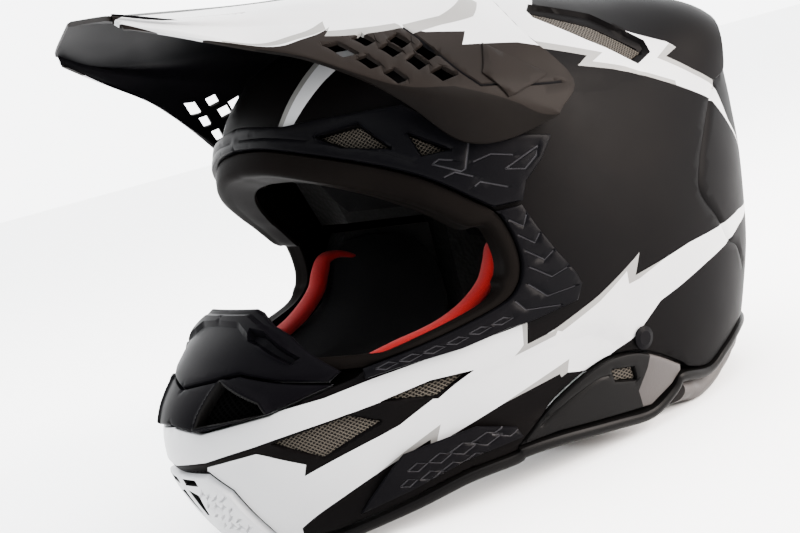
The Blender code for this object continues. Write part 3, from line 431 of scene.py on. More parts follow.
def chart_from_top(sideways, lengthwise):
    """The chart point of a point seen from above, found by halving the height range."""
    low, high = 0.6 * POLE, POLE
    for _ in range(40):
        middle = (low + high) / 2
        _, front, rear, half, widest, blunt_front, blunt_rear = section(middle)
        ahead = lengthwise < widest
        power = blunt_front if ahead else blunt_rear
        depth = widest - front if ahead else rear - widest
        reach = (sideways / half) ** power + (abs(lengthwise - widest) / depth) ** power
        if reach > 1:
            high = middle
        else:
            low = middle
    angle = np.arctan2((lengthwise - widest) / depth, sideways / half)
    return (float(angle) * CHART_RADIUS, low)


def outline(*places):
    return np.array([chart_of(place) for place in places])


# ---------------------------------------------------------------- the visor's surface


RAILS = np.array(VISOR_RAILS, float)
RAIL_PLACES = np.array((0.0, 44.0, 62.0, 76.0, 90.0, 104.0))
LAST_STATION = RAILS.shape[1] - 1


def curve_through(knots, places):
    """Values of a Catmull-Rom curve at places counted in knots."""
    last = len(knots) - 1
    places = np.clip(places, 0, last)
    row = np.minimum(places.astype(int), last - 1)
    part = (places - row).reshape((-1,) + (1,) * (knots.ndim - 1))
    b, c = knots[row], knots[row + 1]
    a = np.where((row > 0).reshape(part.shape), knots[np.maximum(row - 1, 0)], 2 * b - c)
    d = np.where((row < last - 1).reshape(part.shape), knots[np.minimum(row + 2, last)], 2 * c - b)
    pull = (c - a) * part + (2 * a - 5 * b + 4 * c - d) * part**2 + (3 * b - a - 3 * c + d) * part**3
    return b + pull / 2


def visor_surface(chart):
    """The visor's upper face at (across, along) chart places of about one millimetre each."""
    flat = chart.reshape(-1, 2)
    along = flat[:, 1] / VISOR_STRIDE
    across = np.interp(np.abs(flat[:, 0]), RAIL_PLACES, np.arange(len(RAIL_PLACES)))
    lines = curve_through(np.swapaxes(RAILS, 0, 1), along)
    points = np.array([curve_through(line, np.array([place]))[0] for line, place in zip(lines, across)])
    points[:, 1] += (along - np.clip(along, 0, LAST_STATION)) * VISOR_STRIDE
    points[:, 0] *= np.where(flat[:, 0] < 0, -1, 1)
    return points.reshape(chart.shape[:-1] + (3,))


def visor_holes():
    """Diamond holes in three staggered rows on the side of the visor, the first one largest."""
    holes = []
    for first_across, first_along, count in HOLE_ROWS:
        for k in range(count):
            centre = np.array((first_across + k * HOLE_STEP[0], first_along + k * HOLE_STEP[1]))
            half_across, half_along = HOLE_HALF if holes else FIRST_HOLE_HALF
            corners = ((-half_across, 0), (0, -half_along), (half_across, 0), (0, half_along))
            holes.append(centre + np.array(corners))
    return holes


# ---------------------------------------------------------------- nets of triangles


def divided(loop, spacing, closed=True):
    """The line with its long sides split."""
    ends = np.roll(loop, -1, axis=0) if closed else loop[1:]
    points = []
    for start, end in zip(loop, ends):
        count = max(1, round(float(np.linalg.norm(end - start)) / spacing))
        points += [start + (end - start) * k / count for k in range(count)]
    if not closed:
        points.append(loop[-1])
    return np.array(points)


def smoothed(points, steps, closed=False):
    """A smooth curve through the points, with this many steps from one to the next."""
    points = np.asarray(points, float)
    if closed:
        around = np.concatenate((points[-1:], points, points[:2]))
        return curve_through(around, 1 + np.arange(len(points) * steps) / steps)
    return curve_through(points, np.arange((len(points) - 1) * steps + 1) / steps)


def inside(points, loop):
    """Which points lie in the closed loop."""
    found = np.zeros(len(points), bool)
    for (x0, y0), (x1, y1) in zip(loop, np.roll(loop, -1, axis=0)):
        if y0 == y1:
            continue
        crosses = (points[:, 1] < y0) != (points[:, 1] < y1)
        found ^= crosses & (points[:, 0] < x0 + (points[:, 1] - y0) * (x1 - x0) / (y1 - y0))
    return found


def sides_of(line, closed=True):
    """The line's straight sides, as pairs of ends."""
    ends = np.roll(line, -1, axis=0) if closed else line[1:]
    starts = line if closed else line[:-1]
    return np.stack((starts, ends), 1)


def distance_to(points, sides):
    """Each point's distance to the nearest of the sides."""
    best = np.full(len(points), 1e9)
    for start, end in sides:
        side = end - start
        length = max(float(side @ side), 1e-12)
        share = np.clip((points - start) @ side / length, 0, 1)
        best = np.minimum(best, np.linalg.norm(points - start - share[:, None] * side, axis=1))
    return best


def beside(line, distance, closed=True):
    """Points at this distance on both sides of the line."""
    ahead = np.gradient(line, axis=0)
    if closed:
        ahead = np.roll(line, -1, 0) - np.roll(line, 1, 0)
    ahead /= np.maximum(np.linalg.norm(ahead, axis=1, keepdims=True), 1e-9)
    across = np.stack((ahead[:, 1], -ahead[:, 0]), 1) * distance
    points = np.concatenate((line + across, line - across))
    return points[distance_to(points, sides_of(line, closed)) > 0.85 * distance]


def grown(loop, distance):
    """The closed chart loop moved outwards, or inwards where distance is negative."""
    before, after = np.roll(loop, 1, 0), np.roll(loop, -1, 0)
    first = (loop - before) / np.linalg.norm(loop - before, axis=1, keepdims=True)
    second = (after - loop) / np.linalg.norm(after - loop, axis=1, keepdims=True)
    turn = float(np.sum(loop[:, 0] * after[:, 1] - loop[:, 1] * after[:, 0]))
    side = 1 if turn > 0 else -1
    across_first = np.stack((first[:, 1], -first[:, 0]), 1) * side
    across_second = np.stack((second[:, 1], -second[:, 0]), 1) * side
    joined = across_first + across_second
    scale = 2 / np.maximum((joined**2).sum(1), 1.0)
    return loop + joined * scale[:, None] * distance


def strip(line, half_width):
    """A narrow closed loop along the line."""
    ahead = np.gradient(np.asarray(line, float), axis=0)
    ahead /= np.maximum(np.linalg.norm(ahead, axis=1, keepdims=True), 1e-9)
    across = np.stack((ahead[:, 1], -ahead[:, 0]), 1) * half_width
    return np.concatenate((line + across, (line - across)[::-1]))


def spread_out(points, spacing):
    """The points without those that crowd an earlier one."""
    if not len(points):
        return points
    _, first = np.unique(np.round(points / spacing), axis=0, return_index=True)
    return points[np.sort(first)]


def on_seam(sides, seams):
    """Which sides lie on a seam, where the piece goes on into its mirror image."""
    found = sides[:, :, 1].min(1) > POLE - 0.1
    for seam in seams:
        found |= np.abs(sides[:, :, 0] - seam).max(1) < 0.05
    return found


class Net:
    """Chart points and triangles that fill an outline, with extra rows along its lines."""

    def __init__(self, edge, holes, closed_lines, open_lines, rows, spacing, rim, seams):
        side = spacing * EDGE_SHARE
        self.loops = [divided(np.asarray(loop, float), side) for loop in (edge, *holes)]
        borders = np.concatenate([sides_of(loop) for loop in self.loops])
        self.rims = borders[~on_seam(borders, seams)]
        lines = [(divided(np.asarray(line, float), side), True) for line in closed_lines]
        lines += [(divided(np.asarray(line, float), side, False), False) for line in open_lines]
        fixed = np.concatenate([borders] + [sides_of(line, closed) for line, closed in lines])
        extra = [beside(loop, rim * share) for loop in self.loops for share in RIM_ROWS]
        for line, width, closed in rows:
            extra.append(beside(divided(np.asarray(line, float), side, closed), width, closed))
        extra = spread_out(np.concatenate(extra), CROWDED)
        away = distance_to(extra, fixed) > 0.25 * rim
        extra = extra[self.holds(extra) & away]
        self.fill(self.grid(spacing, rim, fixed), extra, lines)

    def grid(self, spacing, rim, fixed):
        """Staggered rows of points, clear of the fixed sides."""
        low, high = self.loops[0].min(0), self.loops[0].max(0)
        levels = np.arange(low[1], high[1], spacing * 0.87)
        points = np.array([
            (x, y)
            for i, y in enumerate(levels)
            for x in np.arange(low[0] + spacing / 2 * (i % 2), high[0], spacing)
        ]).reshape(-1, 2)
        clear = distance_to(points, fixed) > max(spacing * 0.5, rim * 1.2)
        return points[self.holds(points) & clear]

    def holds(self, points):
        found = inside(points, self.loops[0])
        for hole in self.loops[1:]:
            found &= ~inside(points, hole)
        return found

    def fill(self, grid, extra, lines):
        points, sides = list(grid) + list(extra), []
        for line, closed in [(loop, True) for loop in self.loops] + lines:
            first, count = len(points), len(line)
            points += list(line)
            last = count if closed else count - 1
            sides += [(first + k, first + (k + 1) % count) for k in range(last)]
        filled = delaunay_2d_cdt([Vector(p) for p in points], sides, [], 0, 1e-4, False)
        self.places = np.array([tuple(p) for p in filled[0]])
        triangles = np.array([tuple(t) for t in filled[2]])
        self.triangles = triangles[self.holds(self.places[triangles].mean(1))]
        self.from_rim = distance_to(self.places, self.rims)


def plate(
    edge, outer, inner, holes=(), paint=(), raised=(), grooves=(), spacing=NET, rim=1.0, surface=skin,
    seams=(), puff=0.0, puff_share=0.8, under=None, swell=None,
):
    """A closed plate on a surface: paint regions, raised patches, grooves and a rounded rim.

    paint lists (loop, slot), raised lists (loop, height, slope width) and grooves lists
    (line, depth, half width). Where puff is above 0 the inner face swells like a cushion.
    under is the slot of the inner face, where it differs from the paint. swell is a soft bulge
    (centre, height, radius, loop) that ends sharply at its loop.
    """
    rows = [(loop, width, True) for loop, height, width in raised]
    rows += [(line, width, False) for line, depth, width in grooves]
    closed_lines = [loop for loop, slot in paint] + [loop for loop, height, width in raised]
    open_lines = [line for line, depth, width in grooves]
    net = Net(edge, holes, closed_lines, open_lines, rows, spacing, rim, seams)
    places = net.places
    base, out = surface(places), normals(places, surface)
    near = np.clip(1 - net.from_rim / rim, 0, 1)
    height = outer - rim * (1 - np.sqrt(np.clip(1 - near**2, 0, 1))) * 0.9
    for loop, amount, width in raised:
        share = np.clip(distance_to(places, sides_of(np.asarray(loop, float))) / width, 0, 1)
        height += np.where(inside(places, loop), share * share * (3 - 2 * share), 0) * amount
    for line, depth, width in grooves:
        share = np.clip(1 - distance_to(places, sides_of(np.asarray(line, float), False)) / width, 0, 1)
        height -= depth * share
    if swell:
        centre, amount, radius, loop = swell
        share = np.exp(-(np.linalg.norm(places - centre, axis=1) / radius) ** 2)
        clear = distance_to(places, sides_of(loop)) > 0.3
        height += amount * share * (inside(places, loop) & clear)
    floor = np.full(len(places), float(inner))
    if puff:
        share = 1 - np.clip(1 - net.from_rim / puff, 0, 1) ** 2
        floor = outer + (inner - outer) * (1 - puff_share + puff_share * share)
    points = np.concatenate((base + out * height[:, None], base + out * floor[:, None]))
    middle = (np.abs(base[:, 0]) < 0.02) & bool(len(seams))
    points[np.concatenate((middle, middle)), 0] = 0.0
    slots = np.zeros(len(net.triangles), int)
    for loop, slot in paint:
        slots[inside(places[net.triangles].mean(1), np.asarray(loop, float))] = slot
    return closed_sheet(points, places, net.triangles, slots, middle, under)


def closed_sheet(points, places, triangles, slots, middle, under):
    """The outer and inner faces of a plate with the walls between them."""
    count = len(places)
    faces = [tuple(t) for t in triangles] + [tuple(t[::-1] + count) for t in triangles]
    marks = list(slots) + (list(slots) if under is None else [under] * len(slots))
    directed = {}
    for (a, b, c), slot in zip(triangles, slots):
        for side in ((a, b), (b, c), (c, a)):
            directed[side] = slot
    for (a, b), slot in directed.items():
        if (b, a) in directed or (middle[a] and middle[b]):
            continue
        faces.append((a, a + count, b + count, b))
        marks.append(slot)
    return points, faces, np.concatenate((places, places)), marks


def mirrored(solid):
    points, faces, places, slots = solid
    return points * (-1, 1, 1), [face[::-1] for face in faces], places, slots


def both_halves(solid):
    points, faces, places, slots = solid
    other, turned, _, _ = mirrored(solid)
    shift = len(points)
    joined = list(faces) + [tuple(i + shift for i in face) for face in turned]
    return np.concatenate((points, other)), joined, np.concatenate((places, places)), list(slots) * 2


# ---------------------------------------------------------------- sweeps


def sweep(route, out, profile, closed=True, shape=None):
    """A profile of (sideways, out) points carried along a route with given out directions."""
    ahead = np.roll(route, -1, 0) - np.roll(route, 1, 0)
    if not closed:
        ahead[0], ahead[-1] = route[1] - route[0], route[-1] - route[-2]
    ahead /= np.linalg.norm(ahead, axis=1, keepdims=True)
    side = np.cross(ahead, out)
    side /= np.linalg.norm(side, axis=1, keepdims=True)
    up = np.cross(side, ahead)
    profile = np.asarray(profile, float)
    outline_points = profile[None] * (np.ones((len(route), 1, 2)) if shape is None else shape)
    points = route[:, None] + side[:, None] * outline_points[..., :1] + up[:, None] * outline_points[..., 1:]
    count, width = len(route), len(profile)
    faces = []
    for i in range(count if closed else count - 1):
        for k in range(width):
            here, there = i * width, (i + 1) % count * width
            after = (k + 1) % width
            faces.append((here + k, here + after, there + after, there + k))
    if not closed:
        faces.append(tuple(range(width))[::-1])
        faces.append(tuple((count - 1) * width + k for k in range(width)))
    steps = np.linalg.norm(np.diff(route, axis=0), axis=1)
    lengths = np.concatenate(([0.0], np.cumsum(steps)))
    rises = np.concatenate(([0.0], np.cumsum(np.linalg.norm(np.diff(profile, axis=0), axis=1))))
    places = np.stack(np.meshgrid(lengths, rises, indexing="ij"), -1).reshape(-1, 2)
    return points.reshape(-1, 3), faces, places, [0] * len(faces)


def oval(half_width, half_height, count=8, squareness=2.0):
    """A closed round profile, from an ellipse to a soft rectangle."""
    found = []
    for k in range(count):
        angle = 2 * pi * (k + 0.5) / count
        reach = (abs(cos(angle)) ** squareness + abs(sin(angle)) ** squareness) ** (-1 / squareness)
        found.append((half_width * cos(angle) * reach, half_height * sin(angle) * reach))
    return found


def full_loop(half, edge, turn=0.0):
    """The half route joined to its mirror image across the middle plane."""
    half = np.array(half)
    half[0, 0] = edge
    half[-1, 0] = edge + turn
    other = half[1:-1][::-1] * (-1, 1) + (2 * edge + 2 * turn, 0)
    return np.concatenate((half, other))


# ---------------------------------------------------------------- materials


def new_material(name):
    found = bpy.data.materials.new(name)
    found.use_nodes = True
    tree = found.node_tree
    return found, tree, tree.nodes["Principled BSDF"]


def add_node(tree, kind, inputs=(), **settings):
    """A shader node with its settings; inputs are values or sockets to link."""
    made = tree.nodes.new("ShaderNode" + kind)
    for key, value in settings.items():
        setattr(made, key, value)
    for key, value in dict(inputs).items():
        if isinstance(value, bpy.types.NodeSocket):
            tree.links.new(value, made.inputs[key])
        else:
            made.inputs[key].default_value = value
    return made


def noise(tree, place, scale, detail=3.0):
    return add_node(tree, "TexNoise", {"Vector": place, "Scale": scale, "Detail": detail}).outputs["Fac"]


def remapped(tree, value, low, high, from_low=0.0, from_high=1.0):
    limits = {"Value": value, "From Min": from_low, "From Max": from_high, "To Min": low, "To Max": high}
    return add_node(tree, "MapRange", limits).outputs["Result"]


def mixed(tree, share, first, second):
    made = add_node(tree, "Mix", {"Factor": share}, data_type="RGBA")
    made.inputs[6].default_value = (*first, 1)
    made.inputs[7].default_value = (*second, 1)
    return made.outputs[2]


def solid_place(tree):
    return add_node(tree, "TexCoord").outputs["Object"]


def surface_place(tree):
    return add_node(tree, "UVMap", uv_map="Surface").outputs["UV"]


def bump(tree, shader, height, strength, distance):
    made = add_node(tree, "Bump", {"Height": height, "Strength": strength, "Distance": distance})
    tree.links.new(made.outputs["Normal"], shader.inputs["Normal"])


def finish_material(name, colour, other_colour, roughness, grain, strength, specular, metallic=0.0):
    """A moulded or painted finish: slow colour drift, uneven gloss and a fine grain."""
    made, tree, shader = new_material(name)
    place = solid_place(tree)
    slow = noise(tree, place, 14.0)
    fine = noise(tree, place, grain, 2.0)
    drift = mixed(tree, remapped(tree, slow, 0, 1, 0.35, 0.65), colour, other_colour)
    gloss = remapped(tree, noise(tree, place, 60.0), roughness - 0.05, roughness + 0.05)
    tree.links.new(drift, shader.inputs["Base Color"])
    tree.links.new(gloss, shader.inputs["Roughness"])
    shader.inputs["Metallic"].default_value = metallic
    shader.inputs["Specular IOR Level"].default_value = specular
    bump(tree, shader, fine, strength, 0.0002)
    return made


def wave(tree, place, scale, direction, profile="SIN"):
    made = add_node(tree, "TexWave", {"Vector": place, "Scale": scale}, wave_type="BANDS")
    made.bands_direction = direction
    made.wave_profile = profile
    return made.outputs["Fac"]


def product(tree, first, second, operation="MULTIPLY"):
    return add_node(tree, "Math", {0: first, 1: second}, operation=operation).outputs[0]


def mesh_material(name, wire, gap, pitch, shine):
    """Woven wire: two crossed sets of round wires over dark gaps."""
    made, tree, shader = new_material(name)
    place = surface_place(tree)
    turned = add_node(tree, "Mapping", {"Vector": place, "Rotation": (0, 0, radians(38))}).outputs["Vector"]
    bands = [wave(tree, turned, pi / (10 * pitch), direction) for direction in "XY"]
    weave = product(tree, bands[0], bands[1], "MAXIMUM")
    share = remapped(tree, weave, 0, 1, 0.62, 0.8)
    tree.links.new(mixed(tree, share, gap, wire), shader.inputs["Base Color"])
    tree.links.new(remapped(tree, share, 0, shine), shader.inputs["Metallic"])
    shader.inputs["Roughness"].default_value = 0.5
    shader.inputs["Specular IOR Level"].default_value = 0.15 * shine
    bump(tree, shader, weave, 1.0, 0.0008)
    return made


def cloth_material(name, colour, dark, rib, strength, direction):
    """Knitted or woven cloth: ribs and soft fuzz."""
    made, tree, shader = new_material(name)
    place = surface_place(tree)
    ribs = wave(tree, place, rib, direction)
    cross = wave(tree, place, rib * 0.6, "Y" if direction == "X" else "X")
    fuzz = noise(tree, solid_place(tree), 900.0)
    weave = product(tree, product(tree, ribs, cross), fuzz)
    dyed = mixed(tree, remapped(tree, weave, 0, 1, 0.05, 0.45), dark, colour)
    tree.links.new(dyed, shader.inputs["Base Color"])
    shader.inputs["Roughness"].default_value = 0.95
    shader.inputs["Sheen Weight"].default_value = 0.02
    shader.inputs["Specular IOR Level"].default_value = 0.15
    bump(tree, shader, weave, strength, 0.0006)
    return made


def bead_material(name, colour, dark):
    """Moulded bead foam."""
    made, tree, shader = new_material(name)
    cells = add_node(tree, "TexVoronoi", {"Vector": solid_place(tree), "Scale": 330.0}).outputs["Distance"]
    beads = mixed(tree, remapped(tree, cells, 0, 1, 0.1, 0.6), colour, dark)
    tree.links.new(beads, shader.inputs["Base Color"])
    shader.inputs["Roughness"].default_value = 0.85
    bump(tree, shader, cells, 0.6, 0.0008)
    return made


def make_materials():
    finishes = {
        "black_paint": ((0.0007, 0.0006, 0.0007), (0.0011, 0.0009, 0.0009), 0.45, 900, 0.05, 0.013),
        "white_paint": ((0.31, 0.314, 0.32), (0.28, 0.285, 0.293), 0.36, 900, 0.04, 0.25),
        "pale_paint": ((0.105, 0.103, 0.099), (0.085, 0.084, 0.081), 0.36, 900, 0.04, 0.2),
        "visor_grey": ((0.0036, 0.0028, 0.0024), (0.0048, 0.0038, 0.0033), 0.46, 1100, 0.08, 0.015),
        # A painted highlight, laid along the edges of grooves.
        "edge_sheen": ((0.010, 0.010, 0.0115), (0.014, 0.0135, 0.015), 0.36, 1500, 0.1, 0.05),
        # Painted shade for the visor's lower side.
        "visor_shade": ((0.0016, 0.0013, 0.0012), (0.0023, 0.0019, 0.0017), 0.46, 1100, 0.08, 0.012),
        "black_plastic": ((0.0009, 0.0009, 0.0012), (0.0014, 0.0013, 0.0016), 0.36, 1500, 0.12, 0.014),
        "nose_plastic": ((0.001, 0.0009, 0.0012), (0.0015, 0.0014, 0.0018), 0.36, 1500, 0.15, 0.006),
        "white_plastic": ((0.31, 0.314, 0.322), (0.28, 0.285, 0.296), 0.38, 1200, 0.08, 0.25),
        "rubber": ((0.0017, 0.0014, 0.0013), (0.0025, 0.0021, 0.0019), 0.4, 1300, 0.15, 0.002),
        "trim_rubber": ((0.0011, 0.001, 0.001), (0.0016, 0.0015, 0.0015), 0.4, 1300, 0.2, 0.03),
        "neck_cover": ((0.028, 0.025, 0.024), (0.019, 0.0165, 0.016), 0.5, 700, 0.3, 0.12),
        "steel": ((0.3, 0.3, 0.31), (0.24, 0.24, 0.25), 0.4, 1500, 0.1, 0.5, 1.0),
    }
    meshes = {
        "metal_mesh": ((0.03, 0.026, 0.021), (0.0006, 0.0006, 0.0006), 1.5, 0.3),
        "dark_mesh": ((0.0008, 0.0008, 0.0008), (0.0003, 0.0003, 0.0003), 2.5, 0.0),
    }
    cloths = {
        "dark_fabric": ((0.005, 0.0045, 0.005), (0.0015, 0.0015, 0.002), 0.9, 0.5, "X"),
        "red_fabric": ((0.19, 0.0, 0.001), (0.10, 0.0, 0.0005), 0.75, 0.5, "X"),
        "webbing": ((0.003, 0.003, 0.0033), (0.001, 0.001, 0.001), 0.5, 0.8, "Y"),
    }
    looks = {name: finish_material(name, *values) for name, values in finishes.items()}
    looks.update((name, mesh_material(name, *values)) for name, values in meshes.items())
    looks.update((name, cloth_material(name, *values)) for name, values in cloths.items())
    looks["foam"] = bead_material("foam", (0.003, 0.003, 0.0033), (0.0012, 0.0012, 0.0012))
    return looks


# ---------------------------------------------------------------- objects


def standing(points):
    """Metres in the standing frame, from millimetres in the wearer's frame."""
    points = np.asarray(points, float)
    x, y, z = points[..., 0], points[..., 1], points[..., 2]
    back = y * cos(REST_PITCH) + z * sin(REST_PITCH) + REST_SHIFT
    up = -y * sin(REST_PITCH) + z * cos(REST_PITCH) - REST_DROP
    return np.stack((x, back, up), -1) / 1000


def show(node, solid, body, materials, name=None, flat_foot=False):
    """Makes one visible piece that stands for a CAD node and is named after it."""
    name = name or f"{node}_look"
    points, faces, places, slots = solid
    points = standing(points)
    if flat_foot:
        points[:, 2] = np.maximum(points[:, 2], 0.0002)
    mesh = bpy.data.meshes.new(name)
    mesh.from_pydata(points.tolist(), [], [list(map(int, face)) for face in faces])
    for look in materials:
        mesh.materials.append(LOOKS[look])
    mesh.polygons.foreach_set("material_index", np.asarray(slots, dtype=np.int32))
    layer = mesh.uv_layers.new(name="Surface")
    corners = np.empty(len(mesh.loops), np.int32)
    mesh.loops.foreach_get("vertex_index", corners)
    layer.data.foreach_set("uv", np.asarray(places, np.float32)[corners].ravel())
    mesh.update()
    mesh.shade_smooth()
    mesh.set_sharp_from_angle(angle=radians(38))
    obj = bpy.data.objects.new(name, mesh)
    bpy.context.scene.collection.objects.link(obj)
    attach(obj, body)
    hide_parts(node)


def show_pair(node, solid, materials, bodies=("shell", "shell")):
    """The left piece and its mirror image."""
    pieces = (solid, mirrored(solid))
    for side, piece, body in zip(("left", "right"), pieces, bodies):
        show(f"{node}_{side}", piece, body, materials)


# ---------------------------------------------------------------- shell and outer pieces


def eyeport_half(steps=5):
    return smoothed(outline(*EYEPORT), steps)


def shell_edge():
    """The half shell's boundary: down the front, along the hem and up over the crown."""
    nose = outline(*NOSE_SEAT)[::-1]
    mouth = outline(*MOUTH)
    hem = smoothed(outline(*LOWER_LIP, *PAINT_HEM, *REAR_HEM), 5)
    stripe = np.concatenate((mouth, hem, [(REAR_EDGE, POLE)], [(FRONT_EDGE, POLE)]))
    corner = outline(("front", 84, 93))
    edge = np.concatenate((stripe, eyeport_half()[:-1], corner, nose[::-1]))
    edge[0, 0] = edge[-1, 0] = edge[len(stripe), 0] = FRONT_EDGE
    edge[len(stripe) - 3, 0] = REAR_EDGE
    return edge


def hole_outlines():
    holes = (CHIN_VENT_FRONT, CHIN_VENT_REAR, REAR_VENT, BROW_VENT_INNER, BROW_VENT_OUTER, TOP_VENT)
    return [outline(*hole) for hole in holes]


def past_seam(loop):
    """The loop with its points on the front seam moved beyond it."""
    loop = np.array(loop)
    loop[loop[:, 0] < FRONT_EDGE + 0.5, 0] = FRONT_EDGE - 6
    return loop


def make_shell():
    """The painted shell: its paint, the recesses round the vents, the rear crease and the ridge."""
    vents = [outline(*hole) for hole in (CHIN_VENT_FRONT, CHIN_VENT_REAR)]
    mouth = grown(outline(*MOUTH, MOUTH_FOOT), 1.3)
    scoop = outline(*TOP_SCOOP)
    paint = [(past_seam(outline(*SIDE_WHITE)), WHITE), (past_seam(outline(*CHIN_WEDGE)), BLACK)]
    paint.append((crown_white(), WHITE))
    paint += [(outline(*loop), PALE) for loop in (*SIDE_GREYS, *TOP_GREYS, FORE_GREY)]
    paint += [(outline(*FORE_WHITE), WHITE), (scoop, BLACK), (past_seam(mouth), BLACK)]
    paint += [(grown(vent, 2.0), BLACK) for vent in vents]
    raised = [(past_seam(outline(*CHIN_STEP)), -RECESS_DEPTH, 6.0), (scoop, -RECESS_DEPTH, 2.0)]
    crease = smoothed(outline(*REAR_GROOVE), 4)
    ahead = np.concatenate((crease, outline(*AHEAD_OF_CREASE), [(0.0, POLE)]))
    corner = (np.array(chart_of(REAR_CORNER)), CORNER_HEIGHT, CORNER_RADIUS, ahead)
    grooves = [(crease, CREASE_DEPTH, 2.2), (smoothed(outline(*SIDE_RIDGE), 4), RIDGE_DEPTH, 4.0)]
    holes = [grown(hole, EDGE_GAP) for hole in hole_outlines()]
    solid = plate(
        shell_edge(), 0, -SHELL_WALL, holes, paint, raised, grooves, NET, 1.6,
        seams=(FRONT_EDGE, REAR_EDGE), swell=corner, under=BLACK,
    )
    solid = both_halves(solid)
    show("outer_shell", solid, "shell", SHELL_LOOKS, name="shell_look")


def crown_white():
    """The white paint on top, closed along the crown's seam at the pole."""
    loop = outline(*TOP_WHITE)
    loop[0] = (FRONT_EDGE - 6, loop[0, 1])
    loop[-1] = (loop[-1, 0], POLE + 4)
    return np.concatenate((loop, [(FRONT_EDGE - 6, POLE + 4)]))


def make_meshes():
    depths = {
        "chin_mesh_front": 3.4, "chin_mesh_rear": 3.4, "rear_vent_mesh": 2.4, "brow_mesh_inner": 2.2,
        "brow_mesh_outer": 2.2, "top_vent_mesh": 2.4,
    }
    for (name, depth), hole in zip(depths.items(), hole_outlines()):
        show_mesh(name, grown(hole, 0.9 * EDGE_GAP), depth, "metal_mesh")


def show_mesh(name, edge, depth, look, thickness=MESH_THICKNESS):
    """A wire mesh on each side, sunk in its hole."""
    solid = plate(edge, -depth, -depth - thickness, spacing=FINE_NET, rim=MESH_RIM)
    show_pair(name, solid, (look,))


def chevrons(inner, outer, count, lean):
    """V-shaped lines across the band between two edges, their points leaning along it."""
    lines = []
    for k in range(count):
        share = (k + 0.5) / count
        a, b = (line_at(edge, share) for edge in (inner, outer))
        tip = line_at((np.asarray(inner) + outer) / 2, min(share + lean, 1.0))
        lines.append(np.array((a + (b - a) * 0.12, tip, b + (a - b) * 0.12)))
    return lines


def line_at(line, share):
    place = share * (len(line) - 1)
    row = min(int(place), len(line) - 2)
    return line[row] + (line[row + 1] - line[row]) * (place - row)


def painted_highlights(grooves, half_width=PAINTED_HIGHLIGHT_HALF_WIDTH):
    """Painted highlights along the edges of grooves."""
    return [(strip(line, half_width), 1) for line, _, _ in grooves]


def resampled(line, count):
    """The line as evenly spaced points."""
    steps = np.concatenate(([0.0], np.cumsum(np.linalg.norm(np.diff(line, axis=0), axis=1))))
    at = np.linspace(0, steps[-1], count)
    return np.stack([np.interp(at, steps, line[:, k]) for k in (0, 1)], 1)


def make_brow_frame():
    top = outline(*BROW_TOP)
    rim = eyeport_half()
    keep = rim[:, 1] > chart_of((-65, 169))[1]
    edge = np.concatenate((top, rim[keep][::-1]))
    edge[0, 0] = edge[-1, 0] = FRONT_EDGE
    holes = [grown(outline(*hole), 1.2) for hole in (BROW_VENT_INNER, BROW_VENT_OUTER)]
    grooves = [(outline(*mark), 0.7, 0.8) for mark in BROW_MARKS]
    # Painted highlights along the edges of the marks.
    paint = painted_highlights(grooves, 0.35)
    grooves.append((smoothed(outline(*BROW_LIP), 3), 0.8, 1.6))
    solid = plate(
        edge[::-1], LAYER_GAP + FRAME_DEPTH, LAYER_GAP, holes, paint, grooves=grooves,
        spacing=FINE_NET, rim=1.4, seams=(FRONT_EDGE,),
    )
    show("brow_frame", both_halves(solid), "shell", RELIEF_LOOKS)


def make_side_frames():
    """The frame beside the eyeport, with chevrons down its rear and diamonds along its foot."""
    rim = eyeport_half()
    rim = rim[rim[:, 1] < chart_of((-64, 164))[1]]
    rear = outline(*SIDE_FRAME_REAR)
    edge = np.concatenate((rear, rim[::-1]))
    inner, outer = resampled(rim, 30), resampled(rear[1:], 30)
    turn = 16
    grooves = [(line, 0.7, 0.7) for line in chevrons(inner[:turn], outer[:turn], 6, 0.09)]
    for k in range(6):
        share = (k + 0.6) / 6.6
        middle = (line_at(inner[turn:], share) + line_at(outer[turn:], share)) / 2
        grooves.append((diamond(middle, 3.6, 1.7, 0.8), 0.6, 0.6))
    # Painted highlights along the edges of the chevrons and diamonds.
    solid = plate(
        edge[::-1], LAYER_GAP + FRAME_DEPTH, LAYER_GAP, (), painted_highlights(grooves), grooves=grooves,
        spacing=FINE_NET, rim=1.2,
    )
    show_pair("side_frame", solid, RELIEF_LOOKS)


def make_gasket():
    """The rubber lip round the eyeport, sunk behind the nose guard at the middle of its sill."""
    half = np.concatenate((eyeport_half(), smoothed(outline(*EYEPORT_SILL), 5)))
    loop = full_loop(half, FRONT_EDGE)
    route, out = skin(loop), normals(loop)
    sideways = np.abs(route[:, 0]) / EYEPORT_HALF_WIDTH
    on_sill = route[:, 2] < SILL_TOP
    sink = np.clip((0.78 - sideways) / 0.12, 0, 1) * on_sill * GASKET_SINK
    route = route - out * sink[:, None]
    beside_cheeks = (np.abs(route[:, 0]) > 84) & (route[:, 2] < 168)
    reach = np.where(beside_cheeks, CHEEK_REACH, 1.0)
    reach = np.where((sideways > 0.55) & on_sill, SILL_REACH, reach)
    for _ in range(3):
        reach = (np.roll(reach, 1) + reach + np.roll(reach, -1)) / 3
    depth = np.clip((reach - SILL_REACH) / (1 - SILL_REACH), 0.1, 1.0)
    lip = np.array(GASKET_LIP[::-1])
    shape = np.ones((len(route), len(lip), 2))
    shape[:, :, 0] = np.where(lip[:, 0] > 1.0, reach[:, None], 1.0)
    deep = GASKET_FLOOR + (lip[None, :, 1] - GASKET_FLOOR) * depth[:, None]
    shape[:, :, 1] = np.where(lip[:, 1] < GASKET_FLOOR, deep / lip[:, 1], 1.0)
    solid = sweep(route, out, lip, shape=shape)
    show("eyeport_gasket", solid, "shell", ("rubber",))


